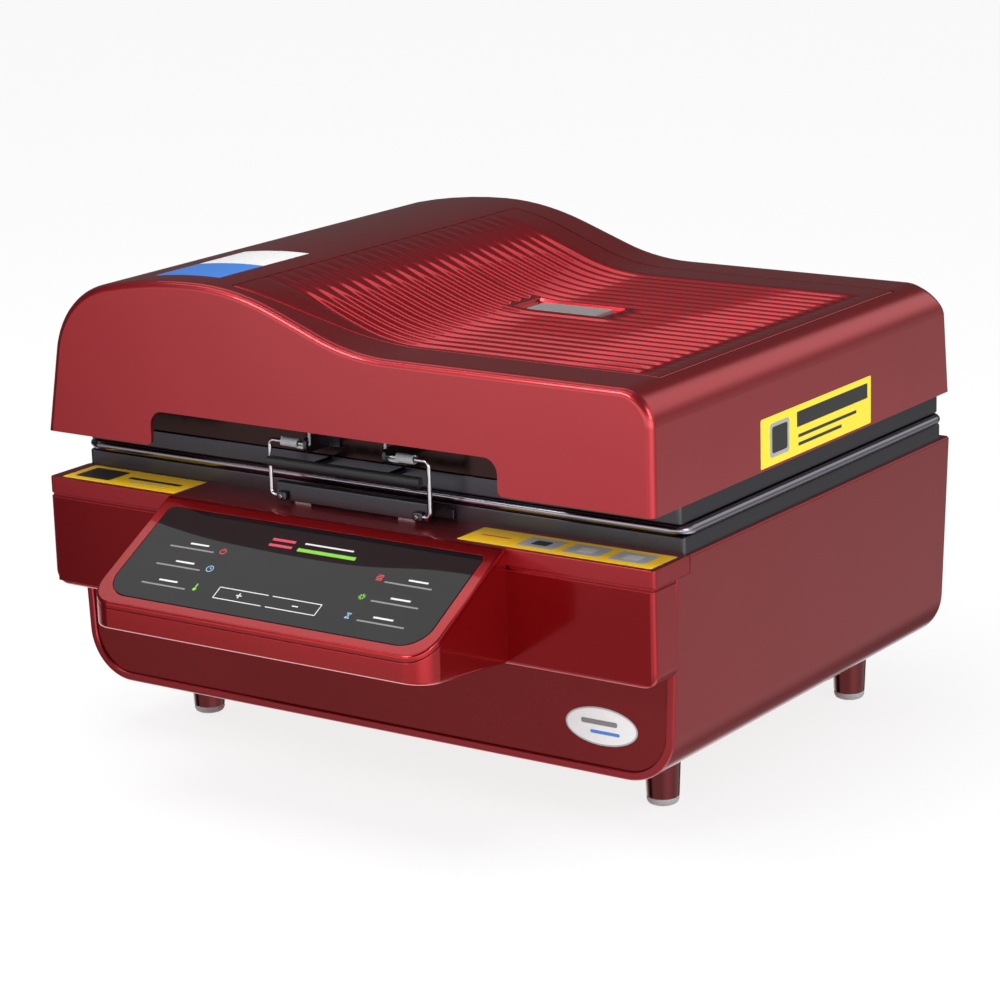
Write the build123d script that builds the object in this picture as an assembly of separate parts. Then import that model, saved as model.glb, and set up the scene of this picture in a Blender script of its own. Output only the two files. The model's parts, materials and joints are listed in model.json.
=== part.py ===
"""Vacuum sublimation heat press: base with console, membrane frame and heated lid.

Millimetres. +Z is up, +X is the operator's right, -Y faces the operator. The origin is on the
floor, under the middle of the whole machine. Each function makes the pieces of one assembly and
save() writes each piece to parts/NODE.step.
"""
import os
from math import asin, atan, cos, degrees, radians, sin, sqrt, tan

from build123d import *

# ---------------------------------------------------------------- driving dimensions
# overall plan
width = 580.0              # base, frames and lid, side to side
base_depth = 431.0         # base box, front to back
ledge_depth = 31.5         # upper front box, in front of the base box
console_reach = 106.5      # console nose, in front of the ledge
hinge_reach = 12.5         # hinge knuckles, behind the base box
console_width = 322.0

# heights
foot_height = 45.0
ledge_bottom_z = 131.0
deck_z = 222.0             # top of the cap plate and of the base box
tray_frame_height = 13.0
rim_height = 8.0           # membrane frame with its rolled edge
lid_frame_height = 18.6
lid_front_height = 14.6
hood_bottom_z = 260.5
hood_flat_z = 354.0        # low, flat right part of the hood
hood_crest_z = 396.0       # highest line of the hood

# walls and clearances
sheet = 2.0                # painted steel sheet
moulding = 3.0             # moulded covers
seam = 0.3                 # gap between parts that close on each other
fit = 0.05                 # radial running clearance of a pin in its hole
hem = 15.0                 # folded inner flange of a sheet box
rear_hem = 22.5            # top flange of the rear panel
past = 20.0                # cutting shapes reach this far past what they cut

# base box
base_corner_r = 42.0
base_taper = 7.0           # each side leans in by this much towards the bottom
lip = 7.0                  # folded lip round the front of the wrap
panel_inset = 2.5          # front panel, behind the lip
cap_thickness = 11.5
cap_groove = 2.5           # shadow gap under the cap plate
cap_step = 2.0
cap_rear = 18.0            # cap plate reaches this far back over the base box
ledge_corner_r = 12.0
edge_r = 3.0               # eased outer edges of covers

# console
console_slope = 29.25      # degrees, control face
console_nose_top_z = 164.4
console_nose_bottom_z = 142.8
console_rear_bottom_z = 133.2
console_corner_r = 21.0
glass_width = 301.0
glass_from = 14.0          # start of the glass along the slope
glass_length = 98.5
glass_corner_r = 22.0
glass_top_r = 5.0
glass_thickness = 2.0
glass_seat = 6.0
board_gap = 5.0
board_thickness = 1.6

# feet
foot_x = 225.5
foot_inset = 78.5          # front feet, behind the base front
foot_spacing = 298.0
foot_top_d = 30.0
foot_bottom_d = 26.0
tip_height = 6.3
foot_bolt_d = 10.0
foot_bolt_head = 4.0

# work well
frame_front = 15.5         # frames start this far behind the base front
frame_side = 3.0           # and this far inside its sides
frame_rear = 9.5           # and end this far before its rear
frame_corner_r = 4.0
frame_wall = 2.5
frame_top = 4.0
well_width = 452.0
well_length = 322.0
well_corner_r = 10.0
well_depth = 104.0
liner_sheet = 1.5
liner_flange = 20.0
gasket_width = 6.0
gasket_height = 1.8
gasket_margin = 9.0
bed_height = 12.0
bed_thickness = 3.0
bed_gap = 3.0
bed_hole_d = 6.0
bed_hole_pitch = 68.0
bed_columns = 6
bed_rows = 4
bed_foot_d = 14.0

# membrane frame
rim_overhang = 3.5         # rolled edge, past the tray frame
rim_corner_r = 16.0
membrane_thickness = 1.5
membrane_grip = 12.0
clamp_screw_d = 5.0
clamp_screw_head = 1.2
clamp_front_pitch = 120.0
clamp_side_pitch = 140.0

# lid frame and heater
lid_frame_front = 14.5
lid_frame_side = 5.5       # inside the base's sides
lid_frame_rear = 9.5
lid_floor = 2.5
lid_opening_hem = 8.0
chamber_side = 22.5        # inside the lid frame's sides
chamber_height = 85.0
chamber_sheet = 1.5
chamber_front = 17.0
chamber_rear = 26.0
blanket_thickness = 8.0
reflector_drop = 22.0
hanger_spacing = 300.0
tube_d = 10.0
tube_pitch = 81.0
tube_rows = 4
tube_left = -70.0
tube_right = 236.0
tube_drop = 38.0
fan_x = -130.0
impeller_d = 96.0
impeller_height = 12.0
impeller_blades = 8
impeller_hub_d = 26.0
fan_shaft_d = 8.0
fan_motor_d = 64.0
fan_motor_height = 34.0
probe_d = 5.0
probe_length = 40.0

# hood
hood_side_z = 326.0        # top of the straight right wall
hood_right_r = 28.0
hood_left_r = 71.3
crest_x = -130.0
crest_left_r = 420.0
crest_left_turn = 12.6
crest_right_r = 225.0
valley_r = 180.0
slope_turn = 20.7
left_lean = 10.6
rear_lean = 6.5
hood_rear_r = 18.0
hood_front_r = 6.0
notch_left = -178.0
notch_right = 155.0
notch_top_z = 289.0
notch_r = 12.0

bracket_y = 95.0
bracket_width = 30.0
bracket_rise = 22.0
bracket_sheet = 2.0

# ribbed top panel
panel_left = -99.0
panel_right = 269.0
panel_rear = 370.0         # measured from the base front, as the next ones
panel_front_left = -17.0
panel_front_right = 13.0
panel_sweep_half = 60.0    # swept front edge: its middle and its end, from the left
panel_sweep = 160.0
panel_flange = 2.0
panel_seat = 8.0
panel_body = 5.0
rib_count = 23
rib_pitch = 14.0
groove_width = 7.5
groove_depth = 2.6
groove_first = 24.0
groove_left = -76.0
groove_right = 254.0
groove_ramp = 24.0
groove_ramp_angle = 7.5
badge_x = 73.0
badge_y = 193.5
badge_length = 66.0
badge_width = 27.0
badge_thickness = 1.5
badge_pocket = 3.0

# hinges
hinge_x = 170.0
knuckle_d = 12.0
hinge_pin_d = 6.0
pin_head_d = 9.0
pin_head = 2.0
hinge_z = 239.6
hinge_length = 90.0
outer_knuckle = 18.0
middle_knuckle = 18.0
leaf = 2.5
lower_leaf_height = 62.0
upper_leaf_height = 60.0
leaf_clear = 9.5
arm_thickness = 4.0

# latch and handle
latch_y = -8.7             # pivot, measured from the base front
latch_z = 272.6
wire_d = 3.1
wire_x = 76.4
wire_bend_r = 4.0
wire_bottom_z = 228.5
wire_foot = 11.0
lug_x = 38.0
lug_thickness = 3.0
coil_d = 7.7
coil_wire_d = 1.8
coil_turns = 10
coil_from = 47.0
leg_x = 35.0
leg_rise = 28.0
hook_width = 145.0
hook_bottom_z = 224.5
hook_height = 14.5
hook_thickness = 2.5
hook_flange = 6.0
clip_width = 9.0
clip_depth = 4.6
clip_height = 7.0
latch_screw_d = 4.4
latch_screw_head = 1.4
handle_length = 147.0
handle_front = -19.3
handle_depth = 6.8
handle_height = 7.6
handle_z = 257.2
handle_post_z = 255.9
handle_post_d = 5.0
handle_post_x = 35.5
catch_x = 50.0
catch_width = 16.0
catch_height = 12.0
catch_thickness = 3.0
peg_x = 79.0
peg_width = 8.0
peg_height = 8.0
peg_depth = 3.0

# services on the rear panel
inlet_x = 196.0
service_z = 96.0
inlet_width = 30.0
inlet_height = 22.0
inlet_wall = 2.5
inlet_depth = 20.0
inlet_flange = 3.5
inlet_flange_t = 2.0
rocker_x = 146.0
rocker_width = 14.0
rocker_height = 22.0
rocker_wall = 2.0
rocker_tilt = 9.0
rocker_clear = 0.6
rocker_box = 16.0
fan_size = 80.0
fan_depth = 20.0
fan_bore = 75.0
cooling_x = -170.0
cooling_z = 122.0
rotor_hub_d = 30.0
rotor_blades = 7
rotor_clear = 1.5
rotor_shaft_d = 4.0
guard_wire = 2.0
guard_rings = 4
fan_bolt_d = 4.0
fan_bolt_inset = 4.5

# services inside the base
pump_x = -40.0
pump_y = 215.0             # measured from the base front
pump_motor_d = 52.0
pump_motor_length = 96.0
pump_head_length = 44.0
pump_head_size = 50.0
pump_saddle = 6.0
hose_d = 10.0
valve_x = 120.0
valve_size = 28.0
power_board_x = 170.0
power_board_y = 325.0
power_board_w = 110.0
power_board_l = 150.0
standoff_d = 7.0
standoff_h = 8.0

# ---------------------------------------------------------------- derived places
overall_depth = console_reach + ledge_depth + base_depth + hinge_reach
base_front = -overall_depth / 2 + console_reach + ledge_depth
base_rear = base_front + base_depth
ledge_front = base_front - ledge_depth
console_front = ledge_front - console_reach
half = width / 2
frame_width = width - 2 * frame_side
frame_depth = base_depth - frame_front - frame_rear
rim_width = frame_width + 2 * rim_overhang
rim_depth = frame_depth + 2 * rim_overhang
lid_frame_width = width - 2 * lid_frame_side
lid_frame_depth = base_depth - lid_frame_front - lid_frame_rear
chamber_width = lid_frame_width - 2 * chamber_side
chamber_depth = base_depth - chamber_front - chamber_rear
cap_bottom_z = deck_z - cap_thickness
box_top_z = cap_bottom_z - cap_groove
frame_y = base_front + frame_front + frame_depth / 2
tray_frame_top = deck_z + tray_frame_height
rim_bottom_z = tray_frame_top + 2 * seam
rim_top_z = rim_bottom_z + rim_height
lid_frame_bottom = rim_top_z + seam
lid_frame_top = lid_frame_bottom + lid_frame_height
chamber_bottom = lid_frame_bottom + lid_floor
chamber_top = chamber_bottom + chamber_height
chamber_y = base_front + chamber_front + chamber_depth / 2
hinge_y = base_rear + hinge_reach - knuckle_d / 2
well_floor_z = deck_z - well_depth
fan_y = chamber_y
rear_inner_y = base_rear - sheet
floor_z = foot_height + sheet


def local_y(distance):
    """Y of a place given by its distance behind the base front."""
    return base_front + distance


standing = (Align.CENTER, Align.CENTER, Align.MIN)


def block(x0, x1, y0, y1, z0, z1):
    """Box between two corners."""
    centre = ((x0 + x1) / 2, (y0 + y1) / 2, (z0 + z1) / 2)
    return Pos(*centre) * Box(x1 - x0, y1 - y0, z1 - z0)


def slab(size_x, size_y, radius, z0, z1, y=0.0, x=0.0):
    """Upright prism with rounded corners in plan."""
    outline = Pos(x, y, z0) * RectangleRounded(size_x, size_y, radius)
    return extrude(outline, z1 - z0)


def ring(outer, inner, outer_r, inner_r, z0, z1, y):
    """Flat rectangular frame; outer and inner are (x, y) sizes."""
    return slab(*outer, outer_r, z0, z1, y) - slab(*inner, inner_r, z0 - 1, z1 + 1, y)


def rod_x(diameter, x0, x1, y, z):
    """Round bar along X."""
    return Plane(origin=(x0, y, z), z_dir=(1, 0, 0)) * extrude(Circle(diameter / 2), x1 - x0)


def rod_y(diameter, y0, y1, x, z):
    """Round bar along Y."""
    return Plane(origin=(x, y0, z), z_dir=(0, 1, 0)) * extrude(Circle(diameter / 2), y1 - y0)


def rod_z(diameter, z0, z1, x, y):
    """Round bar along Z."""
    return Pos(x, y, z0) * extrude(Circle(diameter / 2), z1 - z0)


def front_outline(points_and_arcs, y0, y1):
    """Solid from a closed wire drawn in the XZ plane, from y0 to y1."""
    sketch = make_face(points_and_arcs)
    solid = extrude(Plane.XZ * sketch, -(y1 - y0))
    return Pos(0, y0, 0) * solid


def side_outline(points, x0, x1):
    """Solid from (y, z) points, from x0 to x1."""
    sketch = make_face(Polyline(*[(p[0], p[1]) for p in points], close=True))
    solid = extrude(Plane.YZ * sketch, x1 - x0)
    return Pos(x0, 0, 0) * solid


def both_sides(piece):
    """A piece and its mirror image across the middle of the machine."""
    return [piece, mirror(piece, Plane.YZ)]


def save(node, *pieces):
    """Write one node, as separate solids."""
    solids = [solid for piece in pieces for solid in piece.solids()]
    shape = solids[0] if len(solids) == 1 else Compound(children=solids)
    export_step(shape, f"parts/{node}.step")


# ---------------------------------------------------------------- base box
def base_section(inset, top_z, y0, y1):
    """U shaped section of the base: tapered sides and rounded bottom corners."""
    bottom = foot_height + inset
    lean = base_taper / (deck_z - foot_height)
    top_x = half - inset - (deck_z - top_z) * lean
    bottom_x = half - inset - (deck_z - bottom) * lean
    face = make_face(Polyline((bottom_x, bottom), (top_x, top_z), (-top_x, top_z), (-bottom_x, bottom),
                              close=True))
    low = [v for v in face.vertices() if v.Y < (top_z + bottom) / 2]
    face = fillet(low, base_corner_r - inset)
    return Pos(0, y0, 0) * extrude(Plane.XZ * face, -(y1 - y0))


def base_wrap():
    """Bent steel wrap: floor and two sides, folded lips in front, hems along the top."""
    shell = base_section(0, deck_z, base_front, base_rear)
    shell -= base_section(sheet, deck_z + 1, base_front + sheet, base_rear + 1)
    shell -= base_section(lip, deck_z + 1, base_front - 1, base_front + sheet + 1)
    for side in both_sides(block(half - hem, half - sheet / 2, local_y(cap_rear), base_rear - sheet,
                                 deck_z - sheet, deck_z)):
        shell += side
    shell -= block(-half - 1, half + 1, base_front - 1, local_y(cap_rear), box_top_z, deck_z + 1)
    for x in (-foot_x, foot_x):
        for y in foot_places():
            shell -= rod_z(foot_bolt_d, foot_height - 1, floor_z + 1, x, y)
    return shell


def foot_places():
    """Y of the two rows of feet."""
    return (local_y(foot_inset), local_y(foot_inset + foot_spacing))


def base_front_panel():
    """Dark panel set inside the wrap's front lip."""
    y0 = base_front + sheet
    return base_section(sheet + seam, ledge_bottom_z + hem, y0, y0 + sheet)


def base_rear_panel():
    """Rear panel with its top hem and the cut-outs for the services."""
    panel = base_section(sheet + seam / 2, deck_z, rear_inner_y, base_rear)
    panel += block(-half + hem + seam, half - hem - seam, rear_inner_y - rear_hem, rear_inner_y + 1,
                   deck_z - sheet, deck_z)
    panel -= block(inlet_x - inlet_width / 2, inlet_x + inlet_width / 2, rear_inner_y - 1, base_rear + 1,
                   service_z - inlet_height / 2, service_z + inlet_height / 2)
    rocker_half = rocker_width / 2 + rocker_wall
    rocker_rise = rocker_height / 2 + rocker_wall
    panel -= block(rocker_x - rocker_half, rocker_x + rocker_half, rear_inner_y - 1, base_rear + 1,
                   service_z - rocker_rise, service_z + rocker_rise)
    panel -= rod_y(fan_bore, rear_inner_y - 1, base_rear + 1, cooling_x, cooling_z)
    for x, z in fan_bolt_places():
        panel -= rod_y(fan_bolt_d, rear_inner_y - 1, base_rear + 1, x, z)
    return panel


def deck_cap():
    """Thick cap plate over the ledge, with a stepped underside that leaves a shadow gap."""
    cap = block(-half, half, ledge_front, local_y(cap_rear), cap_bottom_z, deck_z)
    upright = cap.edges().filter_by(Axis.Z).filter_by(lambda e: e.center().Y < base_front)
    cap = fillet(upright, edge_r)
    top_rim = cap.faces().sort_by(Axis.Z)[-1].edges().filter_by(lambda e: e.center().Y < local_y(10))
    cap = fillet(top_rim, edge_r / 2)
    step = cap_step
    cap += block(-half + step, half - step, ledge_front + step, local_y(cap_rear) - step, box_top_z,
                 cap_bottom_z)
    step += sheet
    return cap - block(-half + step, half - step, ledge_front + step, local_y(cap_rear) - step,
                       box_top_z - 1, deck_z - sheet)


def ledge_cover():
    """Upper front box under the cap plate, open to the base and to the console."""
    face = make_face(Polyline((half, box_top_z), (-half, box_top_z), (-half, ledge_bottom_z),
                              (half, ledge_bottom_z), close=True))
    low = [v for v in face.vertices() if v.Y < ledge_bottom_z + 1]
    outer = Pos(0, ledge_front, 0) * extrude(Plane.XZ * fillet(low, ledge_corner_r), -ledge_depth)
    outer = fillet(outer.faces().sort_by(Axis.Y)[0].edges().filter_by(
        lambda e: e.center().Z < box_top_z - 1), edge_r)
    hollow = block(-half + sheet, half - sheet, ledge_front + sheet, base_front + 1,
                   ledge_bottom_z + sheet, box_top_z + 1)
    hollow = fillet(hollow.edges().filter_by(Axis.Y).sort_by(Axis.Z)[:2], ledge_corner_r - sheet)
    window = console_width / 2 - 3 * moulding
    opening = block(-window, window, ledge_front - 1, ledge_front + sheet + 1,
                    console_rear_bottom_z + 3 * moulding, box_top_z + 1)
    return outer - hollow - opening


# ---------------------------------------------------------------- console
slope = radians(console_slope)
slope_start_z = console_nose_top_z + console_reach * tan(slope)
slope_plane = Plane(origin=(0, ledge_front, slope_start_z), x_dir=(1, 0, 0),
                    z_dir=(0, -sin(slope), cos(slope)))


def on_slope(along, depth=0.0, x=0.0):
    """Place on the control face: along it from the ledge, and below it."""
    return slope_plane * Pos(x, -along, -depth)


def console_body(inset):
    """Wedge with a sloped control face and rounded upright corners, inset on all sides but the rear."""
    drop = inset / cos(slope)
    front = console_front + inset
    rear = ledge_front + (1 if inset else 0)
    underside = (console_nose_bottom_z - console_rear_bottom_z) / console_reach
    wedge = side_outline([
        (rear, deck_z - inset), (ledge_front - (slope_start_z - deck_z) / tan(slope), deck_z - inset),
        (front, slope_start_z - (ledge_front - front) * tan(slope) - drop),
        (front, console_rear_bottom_z + (ledge_front - front) * underside + inset),
        (rear, console_rear_bottom_z + (ledge_front - rear) * underside + inset)],
        -console_width / 2 + inset, console_width / 2 - inset)
    upright = wedge.edges().filter_by(Axis.Z).filter_by(lambda e: e.center().Y < console_front + inset + 1)
    wedge = fillet(upright, console_corner_r - inset)
    if not inset:
        face = wedge.faces().filter_by(lambda f: abs(f.normal_at().Z - cos(slope)) < 0.01)[0]
        rim = face.edges().filter_by(lambda e: e.center().Y < ledge_front - 10)
        wedge = fillet(rim, edge_r)
    return wedge


def glass_outline(grow):
    """Outline of the control glass, grown or shrunk, centred on the glass."""
    outline = Rectangle(glass_width + 2 * grow, glass_length + 2 * grow)
    low = [v for v in outline.vertices() if v.Y < 0]
    outline = fillet(low, glass_corner_r + grow)
    high = [v for v in outline.vertices() if v.Y > glass_length / 2 + grow - 0.1]
    return fillet(high, max(glass_top_r + grow, 1))


def console_housing():
    """Hollow moulded housing with a seat for the control glass."""
    housing = console_body(0) - console_body(moulding)
    middle = glass_from + glass_length / 2
    pocket = extrude(on_slope(middle, glass_thickness) * glass_outline(seam / 2), glass_thickness * 3)
    window = extrude(on_slope(middle, moulding * 3) * glass_outline(-glass_seat), moulding * 4)
    return housing - pocket - window


def console_glass():
    """Black touch glass, flush in its pocket."""
    middle = glass_from + glass_length / 2
    return extrude(on_slope(middle, glass_thickness) * glass_outline(0), glass_thickness)


def console_board():
    """Touch board with display on standoffs under the control face."""
    middle = glass_from + glass_length / 2
    top = moulding + board_gap
    width_x = glass_width - 20
    outline = Rectangle(width_x, glass_length + 4)
    board = extrude(on_slope(middle, top + board_thickness) * outline, board_thickness)
    for x in (-width_x / 2 + 8, width_x / 2 - 8):
        for along in (glass_from + 2, glass_from + glass_length - 3):
            board += extrude(on_slope(along, top, x) * Circle(standoff_d / 2), board_gap)
    return board + on_slope(glass_from + 38, top, 10) * Box(96, 26, board_gap - 1, align=standing)


# ---------------------------------------------------------------- feet
def feet():
    """Tapered posts, rubber tips and the bolts that hold them."""
    posts, tips, bolts = [], [], []
    for x in (-foot_x, foot_x):
        for y in foot_places():
            post = Pos(x, y, tip_height) * extrude(Circle(foot_bottom_d / 2), foot_height - tip_height,
                                                   taper=-foot_taper())
            posts.append(post - rod_z(foot_bolt_d, tip_height + 10, foot_height + 1, x, y))
            tip = rod_z(foot_bottom_d + 1, 0, tip_height, x, y)
            tips.append(chamfer(tip.edges().sort_by(Axis.Z)[0], 1.5))
            bolt = rod_z(foot_bolt_d, tip_height + 12, floor_z, x, y)
            head = Pos(x, y, floor_z) * extrude(RegularPolygon(foot_bolt_d * 0.85, 6), foot_bolt_head)
            bolts.append(bolt + head)
    return posts, tips, bolts


def foot_taper():
    """Taper angle of a post."""
    return degrees(atan((foot_top_d - foot_bottom_d) / 2 / (foot_height - tip_height)))


# ---------------------------------------------------------------- work well
def tray_frame():
    """Lower black frame round the mouth of the well, with a groove for the seal."""
    frame = ring((frame_width, frame_depth), (well_width, well_length), frame_corner_r, well_corner_r,
                 deck_z, tray_frame_top, frame_y)
    peg = block(peg_x - peg_width / 2, peg_x + peg_width / 2, local_y(frame_front - peg_depth),
                local_y(frame_front), deck_z + 1, deck_z + 1 + peg_height)
    frame += both_sides(peg)
    wall = frame_wall
    hollow_out = (frame_width - 2 * wall, frame_depth - 2 * wall)
    hollow_in = (well_width + 2 * wall, well_length + 2 * wall)
    frame -= ring(hollow_out, hollow_in, frame_corner_r - wall / 2, well_corner_r + wall, deck_z - 1,
                  tray_frame_top - frame_top, frame_y)
    return frame - well_seal(gasket_height)


def well_seal(height):
    """Silicone seal ring; its groove is the same ring, without the part that stands proud."""
    reach = gasket_margin + gasket_width
    outer = (well_width + 2 * reach, well_length + 2 * reach)
    inner = (well_width + 2 * gasket_margin, well_length + 2 * gasket_margin)
    bottom = tray_frame_top - gasket_height
    return ring(outer, inner, well_corner_r + gasket_margin + gasket_width, well_corner_r + gasket_margin,
                bottom, bottom + height, frame_y)


def well_liner():
    """Open steel box that hangs under the tray frame, with the suction port in its floor."""
    outer = slab(well_width + 2 * liner_sheet, well_length + 2 * liner_sheet, well_corner_r + liner_sheet,
                 well_floor_z, deck_z, frame_y)
    flange = slab(well_width + 2 * liner_flange, well_length + 2 * liner_flange, well_corner_r,
                  deck_z - liner_sheet, deck_z, frame_y)
    hollow = slab(well_width, well_length, well_corner_r, well_floor_z + liner_sheet, deck_z + 1, frame_y)
    port = rod_z(hose_d, well_floor_z - 1, well_floor_z + liner_sheet + 1, valve_x, port_y())
    return outer + flange - hollow - port


def port_y():
    """Suction port and valve line up across the machine."""
    return local_y(pump_y)


def vacuum_bed():
    """Perforated bed plate on short feet over the suction port."""
    top = well_floor_z + liner_sheet + bed_height + bed_thickness
    bed = slab(well_width - 2 * bed_gap, well_length - 2 * bed_gap, well_corner_r - bed_gap,
               top - bed_thickness, top, frame_y)
    holes = GridLocations(bed_hole_pitch, bed_hole_pitch, bed_columns, bed_rows)
    bed -= Pos(0, frame_y, top - bed_thickness - 1) * extrude(
        Sketch() + [place * Circle(bed_hole_d / 2) for place in holes], bed_thickness + 2)
    for x in (-well_width / 2 + 30, 0, well_width / 2 - 30):
        for y in (frame_y - well_length / 2 + 25, frame_y + well_length / 2 - 25):
            bed += rod_z(bed_foot_d, well_floor_z + liner_sheet, top - bed_thickness, x, y)
    return bed


# ---------------------------------------------------------------- pump and electrics in the base
def vacuum_pump():
    """Diaphragm pump: motor can, square head and saddle bracket on the floor."""
    axis_z = floor_z + pump_saddle + pump_motor_d / 2
    y = local_y(pump_y)
    motor = rod_x(pump_motor_d, pump_x - pump_motor_length, pump_x, y, axis_z)
    motor = chamfer(motor.edges().filter_by(GeomType.CIRCLE), 2)
    head = block(pump_x, pump_x + pump_head_length, y - pump_head_size / 2, y + pump_head_size / 2,
                 axis_z - pump_head_size / 2, axis_z + pump_head_size / 2)
    head = fillet(head.edges().filter_by(Axis.X), 6)
    nose = rod_x(hose_d - 3, pump_x + pump_head_length, pump_x + pump_head_length + 12, y, axis_z)
    saddle = block(pump_x - pump_motor_length + 12, pump_x - 12, y - pump_motor_d / 2 - 8,
                   y + pump_motor_d / 2 + 8, floor_z, axis_z - 8)
    saddle -= rod_x(pump_motor_d, pump_x - pump_motor_length, pump_x, y, axis_z)
    return motor + head + nose, saddle


def suction_line():
    """Solenoid valve under the suction port and the hose that joins it to the pump."""
    y = local_y(pump_y)
    axis_z = floor_z + pump_saddle + pump_motor_d / 2
    body = block(valve_x - valve_size / 2, valve_x + valve_size / 2, y - valve_size / 2, y + valve_size / 2,
                 well_floor_z - valve_size - 12, well_floor_z - 12)
    neck = rod_z(hose_d, well_floor_z - 12, well_floor_z + liner_sheet, valve_x, y)
    collar = rod_z(hose_d + 6, well_floor_z - 5, well_floor_z, valve_x, y)
    coil_top = well_floor_z - valve_size - 12
    coil = rod_z(valve_size - 6, coil_top - 22, coil_top, valve_x, y)
    nose = rod_x(hose_d - 3, valve_x - valve_size / 2 - 12, valve_x - valve_size / 2, y, axis_z)
    hose = rod_x(hose_d, pump_x + pump_head_length, valve_x - valve_size / 2, y, axis_z)
    hose -= rod_x(hose_d - 3, pump_x + pump_head_length - 1, valve_x - valve_size / 2 + 1, y, axis_z)
    return body + neck + collar + coil + nose, hose


def power_board():
    """Power and control board on standoffs, with heat sink, relay and transformer."""
    y = local_y(power_board_y)
    top = floor_z + standoff_h + board_thickness
    board = Pos(power_board_x, y, top - board_thickness) * Box(power_board_w, power_board_l, board_thickness,
                                                               align=standing)
    for place in GridLocations(power_board_w - 12, power_board_l - 12, 2, 2):
        board += Pos(power_board_x, y, floor_z) * place * extrude(Circle(standoff_d / 2), standoff_h)
    board += Pos(power_board_x - 25, y - 40, top) * Box(40, 34, 30, align=standing)
    board += Pos(power_board_x + 28, y + 40, top) * Box(28, 20, 16, align=standing)
    board += Pos(power_board_x - 22, y + 40, top) * Box(39, 44, 3, align=standing)
    for place in GridLocations(9, 0, 5, 1):
        board += Pos(power_board_x - 22, y + 40, top) * place * Box(3, 44, 26, align=standing)
    return board


# ---------------------------------------------------------------- rear panel services
def mains_inlet():
    """Appliance inlet: flanged shroud with three blades in it."""
    outer = block(inlet_x - inlet_width / 2, inlet_x + inlet_width / 2, base_rear - inlet_depth, base_rear,
                  service_z - inlet_height / 2, service_z + inlet_height / 2)
    flange = block(inlet_x - inlet_width / 2 - inlet_flange, inlet_x + inlet_width / 2 + inlet_flange,
                   base_rear, base_rear + inlet_flange_t, service_z - inlet_height / 2 - inlet_flange,
                   service_z + inlet_height / 2 + inlet_flange)
    flange = fillet(flange.edges().filter_by(Axis.Y), 3)
    cavity = block(inlet_x - inlet_width / 2 + inlet_wall, inlet_x + inlet_width / 2 - inlet_wall,
                   base_rear - inlet_depth + inlet_wall, base_rear + inlet_flange_t + 1,
                   service_z - inlet_height / 2 + inlet_wall, service_z + inlet_height / 2 - inlet_wall)
    cavity = chamfer(cavity.edges().filter_by(Axis.Y).sort_by(Axis.Z)[2:], 4)
    inlet = outer + flange - cavity
    for dx, dz in ((-7, -2.5), (0, 2.5), (7, -2.5)):
        inlet += block(inlet_x + dx - 1, inlet_x + dx + 1, base_rear - inlet_depth + 1,
                       base_rear - inlet_depth + inlet_wall + 10, service_z + dz - 2, service_z + dz + 2)
    return inlet


def rocker_switch():
    """Switch frame with its bezel, and the rocker that tilts in it."""
    inner_w = rocker_width / 2 + rocker_clear
    inner_h = rocker_height / 2 + rocker_clear
    frame_w = rocker_width / 2 + rocker_wall
    frame_h = rocker_height / 2 + rocker_wall
    frame = block(rocker_x - frame_w, rocker_x + frame_w, base_rear - rocker_box, base_rear,
                  service_z - frame_h, service_z + frame_h)
    bezel = block(rocker_x - inner_w - rocker_wall - 1, rocker_x + inner_w + rocker_wall + 1, base_rear,
                  base_rear + inlet_flange_t, service_z - inner_h - rocker_wall - 1,
                  service_z + inner_h + rocker_wall + 1)
    frame += fillet(bezel.edges().filter_by(Axis.Y), 2)
    frame -= block(rocker_x - inner_w, rocker_x + inner_w, base_rear - rocker_box + rocker_wall,
                   base_rear + inlet_flange_t + 1, service_z - inner_h, service_z + inner_h)
    pivot_y = rocker_pivot_y()
    swing = rocker_height / 2 - 1.5
    frame -= rod_x(3, rocker_x - inner_w - 1.2, rocker_x + inner_w + 1.2, pivot_y, service_z)
    face_y = base_rear + 3.2
    dish = 2.0
    profile = [(pivot_y - 3, service_z - 3), (face_y - 2.5, service_z - swing), (face_y, service_z - swing),
               (face_y - dish, service_z), (face_y, service_z + swing), (face_y - 2.5, service_z + swing),
               (pivot_y - 3, service_z + 3)]
    rocker = side_outline(profile, rocker_x - rocker_width / 2, rocker_x + rocker_width / 2)
    rocker += rod_x(3 - 2 * fit, rocker_x - inner_w - 1.0, rocker_x + inner_w + 1.0, pivot_y, service_z)
    rocker = rocker.rotate(Axis((rocker_x, pivot_y, service_z), (1, 0, 0)), -rocker_tilt)
    return frame, rocker


def rocker_pivot_y():
    """The rocker's pins sit behind the bezel."""
    return base_rear - 5


def fan_bolt_places():
    """Corner bolts of the cooling fan."""
    reach = fan_size / 2 - fan_bolt_inset
    return [(cooling_x + sx * reach, cooling_z + sz * reach) for sx in (-1, 1) for sz in (-1, 1)]


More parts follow.
